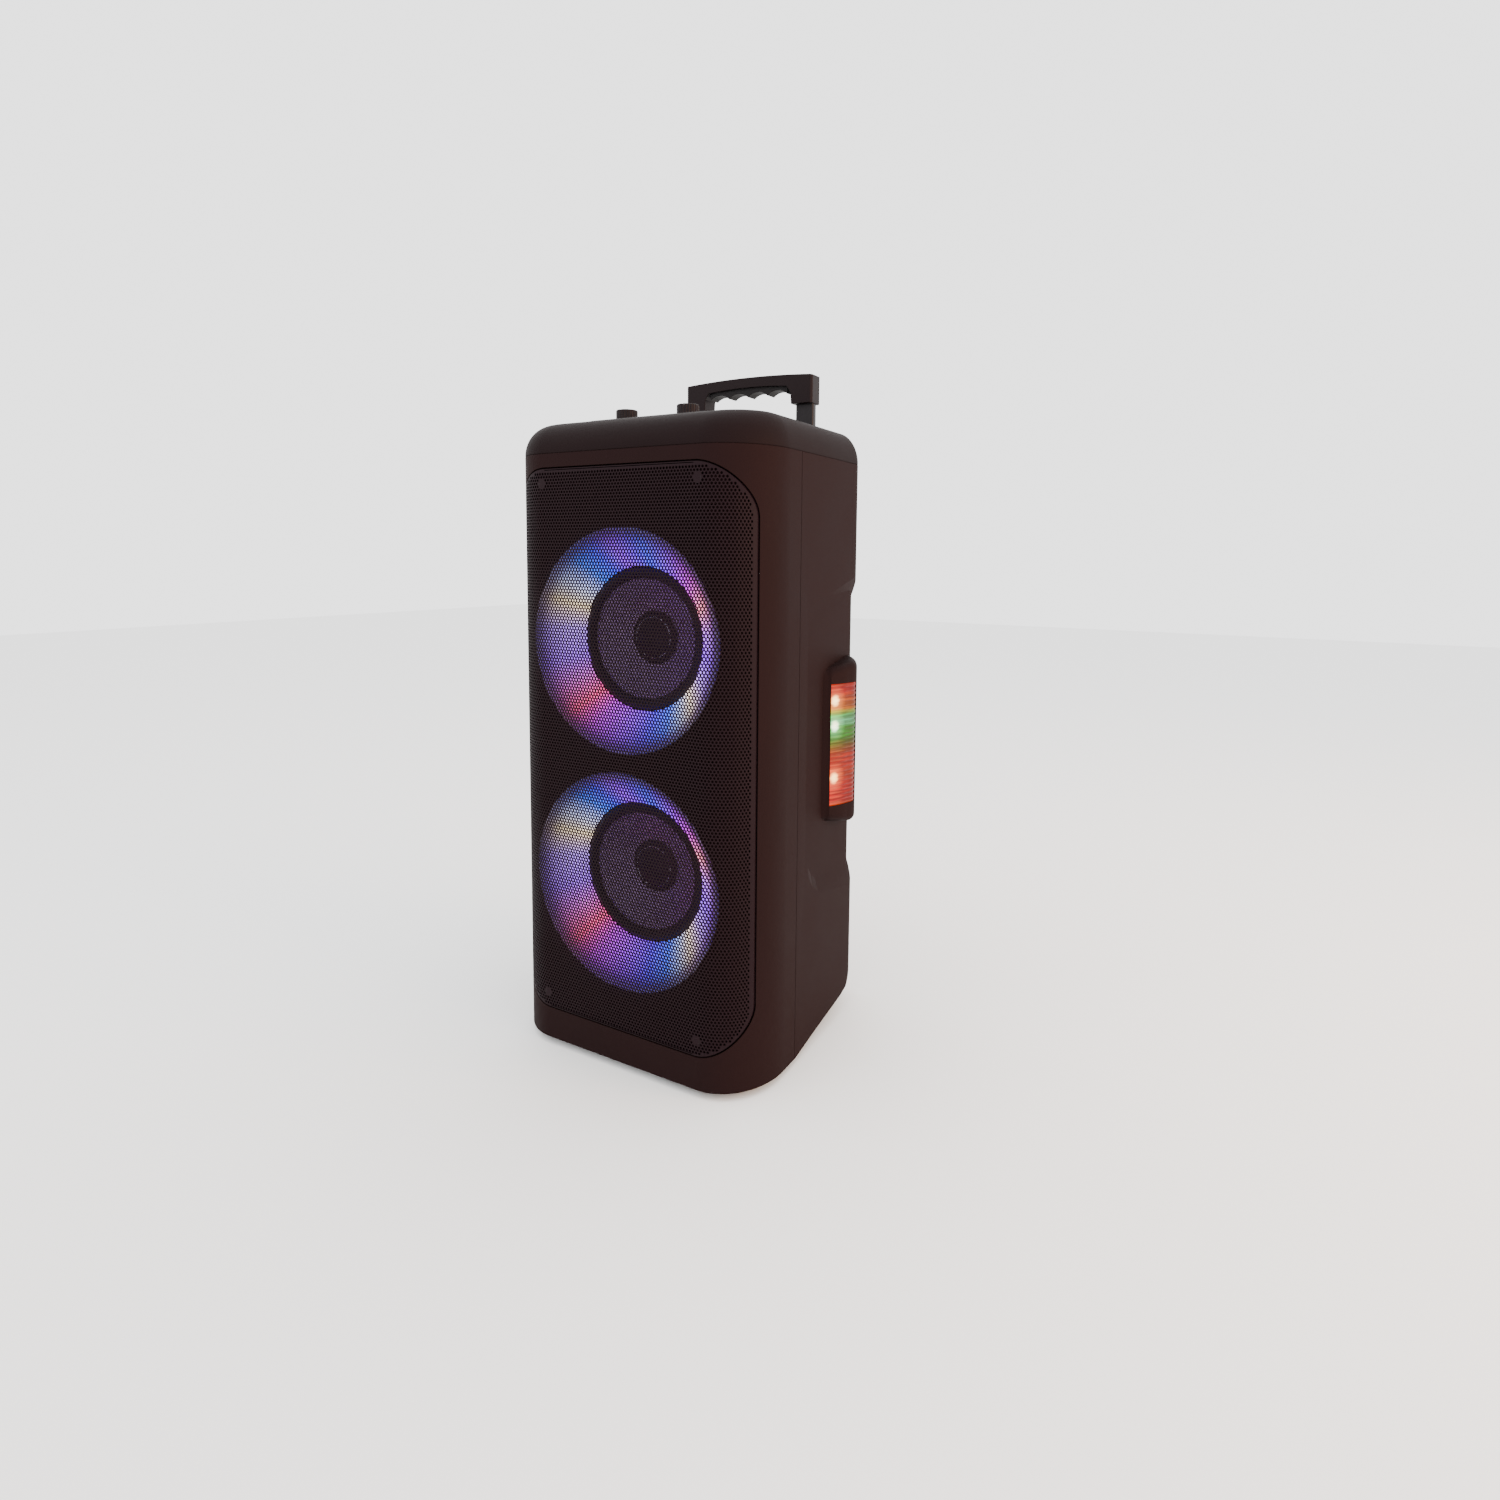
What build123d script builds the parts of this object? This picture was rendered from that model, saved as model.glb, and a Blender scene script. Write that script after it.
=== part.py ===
"""Party speaker: a trolley loudspeaker with two lit drivers, side lights and a pull-out handle.

Frame: X to the right as seen from the front, Y from front to rear, Z up. The origin is on the
floor under the middle of the bounding box. All sizes are in millimetres.
"""
import os
from math import cos, pi, radians, sin

from build123d import *

# Cabinet
DEPTH_OVERALL = 276.0
FRONT = -DEPTH_OVERALL / 2
TAIL = DEPTH_OVERALL / 2
REAR = FRONT + 248.0
PARTING = FRONT + 93.0
HALF_W = 150.4
FLAT_HALF_W = 92.7
CORNER_RX = HALF_W - FLAT_HALF_W
CORNER_RY = 70.1
REAR_CORNER_R = 25.0
WALL = 3.5
BAFFLE_INSET = 12.0
BASE_Z = 8.0
CAP_Z = 614.0
CAP_TOP = 648.0
CAP_RIM_SIDE = 24.0
CAP_RIM_FRONT = 40.0
CAP_STEPS = 5
CUT = 1.0

# Grille
GRILLE_HALF_W = 138.6
GRILLE_LOW = 42.0
GRILLE_HIGH = 598.6
GRILLE_CORNER_R = 50.0
GRILLE_T = 1.5
GROOVE = 1.6
RECESS = 6.5
SCREW_X = 92.4
SCREW_ZS = (56.5, 583.1)
SCREW_HOLE_R = 2.0

# Drivers and their light rings
DRIVERS = {"upper": 430.9, "lower": 190.6}
RING_R = 110.5
RING_INNER_R = 73.1
RING_FRONT = FRONT + 7.0
RING_BACK = FRONT + 40.5
RING_T = 3.4
FLANGE_BACK = RING_BACK + RING_T + 2.6
CUP_R = 111.0
CUP_WALL = 3.0
CUP_PLATE_T = 3.5
CUP_HOLE_R = 76.0
FRAME_R = 84.0
CONE_R = 62.5
CONE_Y = FRONT + 45.6
CONE_SLOPE = 0.514
COIL_R = 18.6
DUST_CAP_R = 27.5
MAGNET_FRONT = FRONT + 84.0
LED_COUNT = 12

# Side lights
POD_FLOOR_X = 142.9
POD_FRONT = FRONT + 169.0
POD_REAR = FRONT + 232.0
POD_X = 162.9
POD_LOW = 233.0
POD_HIGH = 397.0
POD_FLARE = 11.0
POD_WALL = 2.5
POD_BASE_X = 130.0
POD_FOOT = 6.0
LENS_REAR = FRONT + 205.0
LENS_LOW = 250.0
LENS_HIGH = 381.0
SIDE_LED_ZS = (280.0, 336.0, 363.0)
SIDE_RECESS_MID = 321.5
RECESS_CORNER_R = 18.0
RECESS_SLOPE = 16.0
RECESS_TOP = (178.0, 158.0, 56.0)
RECESS_FOOT = (180.0, 164.0, 62.0)

# Control panel
PANEL_HALF_W = 105.0
PANEL_Y = (FRONT + 45.0, FRONT + 190.0)
PANEL_CORNER_R = 45.0
PANEL_TOP = 650.5
PANEL_T = 4.0
PANEL_ROUND = 1.8
KNOB_X = 37.5
KNOB_Y = FRONT + 67.0
KNOB_R = 11.0
KNOB_TOP = 661.5
STEM_R = 3.0
BUTTONS = ("power", "source", "play", "light")
BUTTON_PITCH = 28.0
BUTTON_Y = FRONT + 108.0
BUTTON_R = 7.0
BUTTON_RISE = 1.5
DISPLAY = (72.0, 26.0)
DISPLAY_Y = FRONT + 156.0
BOARD_Z = PANEL_TOP - 14.0

# Trolley handle
TUBE_X = 72.4
TUBE_Y = FRONT + 257.0
TUBE_SIZES = {"inner": (22.4, 10.4, 1.2), "middle": (25.8, 13.8, 1.3), "outer": (29.4, 17.4, 1.4)}
TUBE_LOW = 66.0
GRIP_HALF_W = 84.9
GRIP_Y = (FRONT + 245.5, FRONT + 268.8)
GRIP_TOP = 722.8
GRIP_END_TOP = 719.5
GRIP_BLOCK_X = 58.5
GRIP_LOW = 688.0
LIP_MID = 711.0
LIP_END = 708.5
LIP_CORNER = (6.0, 6.5)
INSERT_TOP = 712.0
CUSP_Z = 700.5
SCALLOP = 26.0
SCALLOP_RISE = 5.0
RELEASE = (40.0, 13.0)

# Trolley cover on the rear wall
COVER_HALF_W = 92.0
COVER_Z = (70.0, 606.0)
COVER_OPEN_HALF_W = 54.0
COVER_OPEN_Z = (110.0, 560.0)

# Wheels
WHEEL_R = 32.0
WHEEL_W = 24.0
WHEEL_X = 120.0
WHEEL_Y = FRONT + 240.0
AXLE_R = 4.0
AXLE_GAP = 0.08
WELL_X = (104.0, 136.0)
WELL_Y = FRONT + 202.0
WELL_TOP = 72.0
SKIRT_X = WELL_X[0] - WALL
AXLE_LOW_X = 88.0
AXLE_HEAD_X = WHEEL_X + WHEEL_W / 2 + 0.5
SKIRT_EDGE = ((95, 8), (138, 15), (207, 25), (221, 29), (228, 39), (236, 50), (249, 66))
SEAM = 0.6

# Rear panel
REAR_PANEL_X = 50.0
REAR_PANEL_Z = (330.0, 530.0)
PANEL_PLATE_T = 3.0
JACK_ZS = (372.0, 404.0)
JACK_X = -24.0
JACK_R = 3.25
USB_AT = (20.0, 388.0)
INLET_AT = (-20.0, 486.0)
ROCKER_AT = (22.0, 486.0)
ROCKER_PIVOT = 1.0
ROCKER_TILT = 9.0
PORT_Z = 200.0
PORT_R = 30.0


def block(x0, x1, y0, y1, z0, z1):
    """Axis-aligned block between two opposite corners."""
    return Pos((x0 + x1) / 2, (y0 + y1) / 2, (z0 + z1) / 2) * Box(x1 - x0, y1 - y0, z1 - z0)


def prism_x(face, x0, x1):
    """Side outline, drawn with Y across and Z up, made solid from x0 to x1."""
    return extrude(Plane.YZ.offset(x0) * face, amount=x1 - x0)


def prism_y(face, y0, y1):
    """Front outline, drawn with X across and Z up, made solid from y0 to y1."""
    return extrude(Plane.XZ.offset(-y0) * face, amount=y0 - y1)


def prism_z(face, z0, z1):
    """Plan outline made solid from z0 to z1."""
    return extrude(Pos(0, 0, z0) * face, amount=z1 - z0)


def outline(points):
    """Flat face inside a closed polygon."""
    return make_face(Polyline(*points, close=True).edges())


def rod_x(radius, x0, x1, y, z):
    """Round bar along X."""
    return Pos((x0 + x1) / 2, y, z) * Rot(0, 90, 0) * Cylinder(radius, x1 - x0)


def rod_y(radius, y0, y1, x, z):
    """Round bar along Y."""
    return Pos(x, (y0 + y1) / 2, z) * Rot(90, 0, 0) * Cylinder(radius, y1 - y0)


def rod_z(radius, z0, z1, x, y):
    """Round bar along Z."""
    return Pos(x, y, (z0 + z1) / 2) * Cylinder(radius, z1 - z0)


def turned_y(points, z):
    """Ring or disc turned about the line X = 0 at height z, from (radius, y) points."""
    return Pos(0, 0, z) * revolve(outline(points), Axis.Y, 360)


def turned_x(points, y, z):
    """Ring or disc turned about a line along X, from (x, radius) points."""
    return Pos(0, y, z) * revolve(outline(points), Axis.X, 360)


def both_sides(piece):
    """The piece and its mirror image, as two solids."""
    return Compound([piece.solid(), mirror(piece, Plane.YZ).solid()])


def at_drivers(make):
    """One piece for each driver, as two solids."""
    return Compound([make(z).solid() for z in DRIVERS.values()])


def plan_face(inset=0.0, front_inset=None):
    """Cabinet plan: flat front, elliptical front corners, straight sides, round rear corners."""
    front_inset = inset if front_inset is None else front_inset
    half = HALF_W - inset
    front = FRONT + front_inset
    corner_y = FRONT + CORNER_RY
    rx = CORNER_RX - inset
    ry = CORNER_RY - front_inset
    rear = REAR - inset
    rr = max(REAR_CORNER_R - inset, 3.0)
    right = EllipticalCenterArc((FLAT_HALF_W, corner_y), rx, ry, 270, arc_size=90)
    left = EllipticalCenterArc((-FLAT_HALF_W, corner_y), rx, ry, 180, arc_size=90)
    edges = [
        Line((-FLAT_HALF_W, front), (FLAT_HALF_W, front)),
        right,
        Line((half, corner_y), (half, rear - rr)),
        CenterArc((half - rr, rear - rr), rr, 0, 90),
        Line((half - rr, rear), (rr - half, rear)),
        CenterArc((rr - half, rear - rr), rr, 90, 90),
        Line((-half, rear - rr), (-half, corner_y)),
        left,
    ]
    return make_face(Curve() + edges)


def front_layer(outer, inner, margin):
    """Curved slab that follows the front, between two insets, cut to the grille's outline."""
    slab = prism_z(plan_face(outer), BASE_Z, CAP_Z) - prism_z(plan_face(inner), BASE_Z - CUT, CAP_Z + CUT)
    height = GRILLE_HIGH - GRILLE_LOW + 2 * margin
    middle = (GRILLE_HIGH + GRILLE_LOW) / 2
    face = Pos(0, middle) * RectangleRounded(2 * (GRILLE_HALF_W + margin), height, GRILLE_CORNER_R + margin)
    return slab & prism_y(face, FRONT - CUT - 1, FRONT + CORNER_RY)


def driver_cup(z):
    """Cup behind one light ring, with the plate that carries the driver."""
    back = FLANGE_BACK + CUP_PLATE_T
    inside = CUP_R
    outside = CUP_R + CUP_WALL
    front = FRONT + BAFFLE_INSET - CUT
    points = [(inside, front), (outside, front), (outside, back), (CUP_HOLE_R, back)]
    points += [(CUP_HOLE_R, FLANGE_BACK), (inside, FLANGE_BACK)]
    return turned_y(points, z)


def seam(axis_band):
    """Shallow groove round the cabinet's outside, within a band of space."""
    rim = prism_z(plan_face(-CUT), BASE_Z - CUT, CAP_Z + CUT) - prism_z(plan_face(SEAM), BASE_Z - CUT, CAP_Z + CUT)
    return rim & axis_band


def top_seam():
    """Groove under the lid."""
    return seam(block(-HALF_W - CUT, HALF_W + CUT, FRONT - CUT, REAR + CUT, CAP_Z - SEAM, CAP_Z + CUT))


def parting_seam():
    """Groove along the joint of the two shells, cut into the rear one."""
    wide = HALF_W + CUT
    return seam(block(-wide, wide, PARTING - CUT, PARTING + SEAM, BASE_Z - CUT, CAP_Z + CUT))


def front_shell():
    """Front half of the cabinet: baffle, grille recess, driver cups, floor and sides."""
    keep = block(-HALF_W, HALF_W, FRONT, PARTING, BASE_Z, CAP_Z)
    body = prism_z(plan_face(), BASE_Z, CAP_Z) & keep
    body -= prism_z(plan_face(WALL, BAFFLE_INSET), BASE_Z + WALL, CAP_Z + CUT)
    body -= front_layer(-CUT, RECESS, GROOVE)
    for z in DRIVERS.values():
        body -= rod_y(CUP_R, FRONT - CUT, FLANGE_BACK, 0, z)
        body += driver_cup(z)
    for x in (-SCREW_X, SCREW_X):
        for z in SCREW_ZS:
            body += rod_y(5, FRONT + GRILLE_T + 0.4, FRONT + BAFFLE_INSET, x, z)
            body -= rod_y(SCREW_HOLE_R, FRONT, FRONT + BAFFLE_INSET + CUT, x, z)
    for x, z in driver_screw_spots():
        body -= rod_y(SCREW_HOLE_R, FRONT + 30, FRONT + 60, x, z)
    return body - top_seam()


def skirt_cut(side, lift, inner):
    """Space under one side's lower edge, which rises to the rear; lift raises it for the hollow above."""
    points = [(FRONT + depth, z + lift) for depth, z in SKIRT_EDGE]
    points += [(REAR + CUT, BASE_Z - CUT), (FRONT + SKIRT_EDGE[0][0], BASE_Z - CUT)]
    return prism_x(outline(points), *sorted((side * inner, side * (HALF_W + CUT))))


def recess_floor(side, inset):
    """Solid up to the floor of one side's recess, which turns round the rear corner; side is 1 or -1."""
    half = POD_FLOOR_X - inset
    rear = REAR - inset
    radius = RECESS_CORNER_R - inset
    start = 0 if side > 0 else 90
    edges = [
        Line((0, FRONT), (side * half, FRONT)),
        Line((side * half, FRONT), (side * half, rear - radius)),
        CenterArc((side * (half - radius), rear - radius), radius, start, 90),
        Line((side * (half - radius), rear), (0, rear)),
        Line((0, rear), (0, FRONT)),
    ]
    return prism_z(make_face(Curve() + edges), BASE_Z, CAP_Z)


def side_recess(side):
    """Shallow hollow in one side, open to the rear, with sloping edges; side is 1 or -1."""
    def half_edge(inset, rear, middle, rise):
        points = [(REAR + 5, rear - inset), (FRONT + 175, middle - inset)]
        for i in range(6):
            turn = pi / 2 * i / 5
            y = FRONT + 160 - (50 - inset) * sin(turn)
            points.append((y, 98 + (rise - inset) * cos(turn)))
        return points

    def edge(inset, count):
        points = [(y, SIDE_RECESS_MID + h) for y, h in half_edge(inset, *RECESS_TOP)[:count]]
        points += [(y, SIDE_RECESS_MID - h) for y, h in reversed(half_edge(inset, *RECESS_FOOT)[:count])]
        return outline(points)

    def funnel(x, count):
        slope = RECESS_SLOPE / (HALF_W - POD_FLOOR_X)
        wide = Plane.YZ.offset(side * (HALF_W + CUT)) * edge(-slope * CUT, count)
        return loft([wide, Plane.YZ.offset(side * x) * edge(slope * (HALF_W - x), count)], ruled=True)
    deep = POD_FLOOR_X - RECESS_CORNER_R
    corner = funnel(deep, 2) & side_block(side, deep, HALF_W + CUT, FRONT + 200, REAR + 5, BASE_Z, CAP_Z)
    return funnel(POD_FLOOR_X, None), corner - recess_floor(side, 0)


def side_block(side, x0, x1, *rest):
    """Block on the right (side 1) or mirrored to the left (side -1)."""
    return block(*sorted((side * x0, side * x1)), *rest)


def rear_shell():
    """Rear half of the cabinet: side recesses, wheel wells, rear wall openings."""
    body = prism_z(plan_face(), BASE_Z, CAP_Z)
    body -= block(-HALF_W - CUT, HALF_W + CUT, FRONT - CUT, PARTING, BASE_Z - CUT, CAP_Z + CUT)
    cavity = prism_z(plan_face(WALL), BASE_Z + WALL, CAP_Z + CUT)
    low = SIDE_RECESS_MID - RECESS_FOOT[0] - WALL
    high = SIDE_RECESS_MID + RECESS_TOP[0] + WALL
    for side in (-1, 1):
        inner = POD_FLOOR_X - RECESS_CORNER_R - WALL
        pad = side_block(side, inner, HALF_W, FRONT + 104, REAR, low, high)
        cavity -= pad - recess_floor(side, WALL)
        cavity -= side_block(side, SKIRT_X, HALF_W, WELL_Y - WALL, REAR, BASE_Z, WELL_TOP + WALL)
        cavity -= skirt_cut(side, WALL + 1.5, SKIRT_X - WALL)
        cavity -= rod_x(2 * AXLE_R, *sorted((side * AXLE_LOW_X, side * WELL_X[0])), WHEEL_Y, WHEEL_R)
    body -= cavity
    for side in (-1, 1):
        body -= side_block(side, *WELL_X, WELL_Y, REAR + CUT, BASE_Z - CUT, WELL_TOP)
        for hollow in side_recess(side):
            body -= hollow
        body -= skirt_cut(side, 0, SKIRT_X)
        ends = sorted((side * (AXLE_LOW_X + 2), side * WELL_X[1]))
        body -= rod_x(AXLE_R, *ends, WHEEL_Y, WHEEL_R)
    half = REAR_PANEL_X - 6
    body -= block(-half, half, REAR - 9, REAR + CUT, REAR_PANEL_Z[0] + 6, REAR_PANEL_Z[1] - 6)
    body -= rod_y(PORT_R + 3, REAR - 9, REAR + CUT, 0, PORT_Z)
    for x, z in case_screw_spots():
        body -= rod_y(SCREW_HOLE_R, REAR - 9, REAR + CUT, x, z)
    return body - top_seam() - parting_seam()


def lid_solid(inset, low, high):
    """Solid with the cabinet's plan at its foot and a rim that curves in as a quarter ellipse."""
    sections = []
    for i in range(CAP_STEPS + 1):
        turn = pi / 2 * i / CAP_STEPS
        share = 1 - cos(turn)
        plan = plan_face(inset + CAP_RIM_SIDE * share, inset + CAP_RIM_FRONT * share)
        sections.append(Pos(0, 0, low + (high - low) * sin(turn)) * plan)
    return loft(sections)


def panel_outline(inset):
    """Plan of the control panel, shrunk by an inset."""
    length = PANEL_Y[1] - PANEL_Y[0] - 2 * inset
    return Pos(0, sum(PANEL_Y) / 2) * RectangleRounded(2 * (PANEL_HALF_W - inset), length, PANEL_CORNER_R - inset)


def top_cap():
    """Lid of the cabinet with a large rounded rim and the opening for the control panel."""
    body = lid_solid(0, CAP_Z, CAP_TOP) - lid_solid(WALL, CAP_Z - CUT, CAP_TOP - WALL)
    return body - prism_z(panel_outline(6), CAP_TOP - 2 * WALL, CAP_TOP + CUT)


def control_panel():
    """Raised panel with holes for knob stems and buttons, and a pocket for the display window."""
    body = prism_z(panel_outline(0), CAP_TOP, PANEL_TOP)
    body = fillet(body.faces().sort_by(Axis.Z)[-1].edges(), PANEL_ROUND)
    body += prism_z(panel_outline(6.5), CAP_TOP - 6, CAP_TOP)
    body -= prism_z(panel_outline(10), BOARD_Z - 4, PANEL_TOP - PANEL_T)
    for x in (-KNOB_X, KNOB_X):
        body -= rod_z(STEM_R + 1, BOARD_Z, PANEL_TOP + CUT, x, KNOB_Y)
    for x in button_xs():
        body -= rod_z(BUTTON_R + 0.3, BOARD_Z, PANEL_TOP + CUT, x, BUTTON_Y)
    width, depth = DISPLAY
    body -= Pos(0, DISPLAY_Y, PANEL_TOP) * Box(width, depth, 3)
    body -= Pos(0, DISPLAY_Y, PANEL_TOP) * Box(width - 6, depth - 6, 12)
    return body


def display_window():
    """Clear window over the display."""
    width, depth = DISPLAY
    return Pos(0, DISPLAY_Y, PANEL_TOP - 0.75) * Box(width, depth, 1.5)


def control_board():
    """Circuit board under the panel with the display module and a switch under each button."""
    body = prism_z(panel_outline(13), BOARD_Z, BOARD_Z + 1.6)
    width, depth = DISPLAY
    body += Pos(0, DISPLAY_Y, BOARD_Z + 5.6) * Box(width - 10, depth - 8, 8)
    for x in button_xs():
        body += Pos(x, BUTTON_Y, BOARD_Z + 3.9) * Box(6, 6, 5)
    for x in (-KNOB_X, KNOB_X):
        body -= rod_z(5.2, BOARD_Z - CUT, BOARD_Z + 2, x, KNOB_Y)
    return body


def button_xs():
    """Places of the push buttons across the panel."""
    return [(i - (len(BUTTONS) - 1) / 2) * BUTTON_PITCH for i in range(len(BUTTONS))]


def push_button(x):
    """Round button cap with a retaining flange under the panel."""
    cap = rod_z(BUTTON_R, PANEL_TOP - PANEL_T - 2.2, PANEL_TOP + BUTTON_RISE, x, BUTTON_Y)
    cap = fillet(cap.faces().sort_by(Axis.Z)[-1].edges(), 0.8)
    return cap + rod_z(BUTTON_R + 1.2, PANEL_TOP - PANEL_T - 2.2, PANEL_TOP - PANEL_T - 1, x, BUTTON_Y)


def knob(x):
    """Fluted rotary knob with its stem and a pointer groove."""
    body = rod_z(KNOB_R, PANEL_TOP + 0.4, KNOB_TOP, x, KNOB_Y)
    body = chamfer(body.faces().sort_by(Axis.Z)[-1].edges(), 0.8)
    flutes = 24
    for i in range(flutes):
        angle = 2 * pi * i / flutes
        spot = (x + (KNOB_R + 0.5) * cos(angle), KNOB_Y + (KNOB_R + 0.5) * sin(angle))
        body -= rod_z(1.1, PANEL_TOP, KNOB_TOP + CUT, *spot)
    body -= Pos(x, KNOB_Y - KNOB_R * 0.6, KNOB_TOP) * Box(1.4, KNOB_R * 0.8, 1.2)
    return body + rod_z(STEM_R, BOARD_Z + 3, PANEL_TOP + 1, x, KNOB_Y)


def potentiometers():
    """Bodies of the two volume controls, each with the bush its stem turns in."""
    body = rod_z(8, BOARD_Z - 9, BOARD_Z - 1, KNOB_X, KNOB_Y)
    body += rod_z(5, BOARD_Z - 1, PANEL_TOP - PANEL_T - 0.5, KNOB_X, KNOB_Y)
    body -= rod_z(STEM_R + 0.06, BOARD_Z + 2, PANEL_TOP, KNOB_X, KNOB_Y)
    return both_sides(body)


def grille_panel():
    """Curved grille sheet with a rolled-back edge resting on the recess floor."""
    sheet = front_layer(0, GRILLE_T, 0)
    edge = front_layer(0, RECESS, 0) - front_layer(-CUT, RECESS + CUT, -2.0)
    body = sheet + edge
    through = FRONT + GRILLE_T + CUT
    countersink = [(0, FRONT - CUT), (4.5, FRONT - CUT), (4.5, FRONT), (SCREW_HOLE_R, FRONT + GRILLE_T)]
    countersink += [(SCREW_HOLE_R, through), (0, through)]
    for x in (-SCREW_X, SCREW_X):
        for z in SCREW_ZS:
            body -= Pos(x, 0, 0) * turned_y(countersink, z)
    return body


def grille_screws():
    """Four countersunk screws through the grille corners into the baffle."""
    screws = []
    shank_r = SCREW_HOLE_R - 0.1
    back = FRONT + BAFFLE_INSET + 6
    head = [(0, FRONT + 1.0), (1.4, FRONT + 1.0), (1.4, FRONT + 0.1), (4.3, FRONT + 0.1)]
    profile = head + [(shank_r, FRONT + GRILLE_T), (shank_r, back), (0, back)]
    for x in (-SCREW_X, SCREW_X):
        for z in SCREW_ZS:
            screws.append((Pos(x, 0, 0) * turned_y(profile, z)).solid())
    return Compound(screws)


def ring_diffuser(z):
    """Bowl-shaped light diffuser that runs from the ring's outer rim down to the driver."""
    rim = [(RING_R, RING_FRONT + RING_T), (RING_R, RING_FRONT), (RING_R - 2.5, RING_FRONT)]
    return turned_y(rim + [(RING_INNER_R, RING_BACK), (RING_INNER_R, RING_BACK + RING_T)], z)


def ring_leds(z):
    """Circuit ring with its LEDs behind the diffuser."""
    back = FLANGE_BACK
    body = turned_y([(87, back - 1.6), (109, back - 1.6), (109, back), (87, back)], z)
    for i in range(LED_COUNT):
        angle = 2 * pi * i / LED_COUNT
        body += rod_y(3, back - 5, back - 1, 102 * sin(angle), z + 102 * cos(angle))
    return body


def driver_screw_spots():
    """Places of the driver screws on both flanges, clear of the basket."""
    spots = []
    for z in DRIVERS.values():
        for i in range(4):
            angle = radians(45 + 90 * i)
            spots.append((80.5 * sin(angle), z + 80.5 * cos(angle)))
    return spots


def driver_frame(z):
    """Pressed basket with flange, six windows and a rear seat for the magnet."""
    front = RING_BACK + RING_T
    back = MAGNET_FRONT
    profile = [(RING_INNER_R, front), (FRAME_R, front), (FRAME_R, FLANGE_BACK), (CUP_HOLE_R - 0.4, FLANGE_BACK)]
    profile += [(CUP_HOLE_R - 0.4, FLANGE_BACK + 5.5), (50, back), (20, back), (20, back - 3)]
    profile += [(48.5, back - 3), (RING_INNER_R, FLANGE_BACK + 4)]
    body = turned_y(profile, z)
    for i in range(6):
        window = block(-16, 16, FLANGE_BACK + 9, back - 6, 40, 80)
        body -= Pos(0, 0, z) * Rot(0, 60 * i, 0) * window
    for x, dz in driver_screw_spots():
        body -= rod_y(SCREW_HOLE_R, front - CUT, FLANGE_BACK + CUT, x, dz)
    return body


def driver_magnet(z):
    """Magnet ring between its plates, with the centre pole, open at the coil gap."""
    front = MAGNET_FRONT
    points = [(0, front - 2), (17, front - 2), (17, front + 18), (24, front + 18), (24, front + 4)]
    points += [(19.6, front + 4), (19.6, front), (47, front), (47, front + 4), (45, front + 4)]
    return turned_y(points + [(45, front + 25), (0, front + 25)], z)


def driver_screws():
    """Four screws for each driver flange."""
    seat = FLANGE_BACK - 2.6
    screws = []
    for x, z in driver_screw_spots():
        head = rod_y(3.0, seat - 1.2, seat, x, z)
        shank = rod_y(SCREW_HOLE_R - 0.1, seat - CUT, FLANGE_BACK + CUP_PLATE_T + 5, x, z)
        screws.append((head + shank).solid())
    return Compound(screws)


def surround(z):
    """Half-roll surround on the cone's rim; its outer edge floats inside the flange."""
    outer = ThreePointArc((61.0, CONE_Y), (66.8, CONE_Y - 5.0), (72.5, CONE_Y))
    inner = ThreePointArc((71.5, CONE_Y), (66.8, CONE_Y - 4.1), (62.0, CONE_Y))
    edges = [outer, Line(outer @ 1, inner @ 0), inner, Line(inner @ 1, outer @ 0)]
    return Pos(0, 0, z) * revolve(make_face(Curve() + edges), Axis.Y, 360)


def cone_depth(radius):
    """Depth position of the cone's face at a radius."""
    return CONE_Y + (CONE_R - radius) * CONE_SLOPE


def cone(z):
    """Paper cone from the flat rim down to the neck."""
    neck = cone_depth(COIL_R + 0.1)
    points = [(CONE_R, CONE_Y), (59.5, CONE_Y), (59.5, cone_depth(59.5)), (COIL_R + 0.1, neck)]
    return turned_y(points + [(COIL_R + 0.1, neck + 1.6), (58.5, cone_depth(58.5) + 1.2), (CONE_R, CONE_Y + 1.2)], z)


def dust_cap(z):
    """Domed cap over the coil, resting on the cone."""
    edge_y = cone_depth(DUST_CAP_R) - 0.1
    rise = 8.0
    radius = (DUST_CAP_R**2 + rise**2) / (2 * rise)
    shell = Sphere(radius) - Sphere(radius - 1)
    cap = Pos(0, edge_y - rise + radius, 0) * shell
    cap &= rod_y(DUST_CAP_R + CUT, edge_y - rise - CUT, edge_y, 0, 0)
    return Pos(0, 0, z) * cap


def voice_coil(z):
    """Coil former with its winding in the magnet gap."""
    front = cone_depth(COIL_R)
    gap = MAGNET_FRONT
    points = [(17.8, front), (COIL_R, front), (COIL_R, gap - 5), (19.1, gap - 5), (19.1, gap + 8)]
    return turned_y(points + [(COIL_R, gap + 8), (COIL_R, gap + 11), (17.8, gap + 11)], z)


def spider(z):
    """Corrugated centring disc; its outer edge floats inside the basket."""
    start, end, waves = COIL_R, 48.0, 6
    y = MAGNET_FRONT - 9.5
    steps = 2 * waves
    front = [(start + (end - start) * i / steps, y + (1.2 if i % 2 else 0)) for i in range(steps + 1)]
    back = [(r, depth + 0.8) for r, depth in reversed(front)]
    return turned_y(front + back, z)


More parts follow.
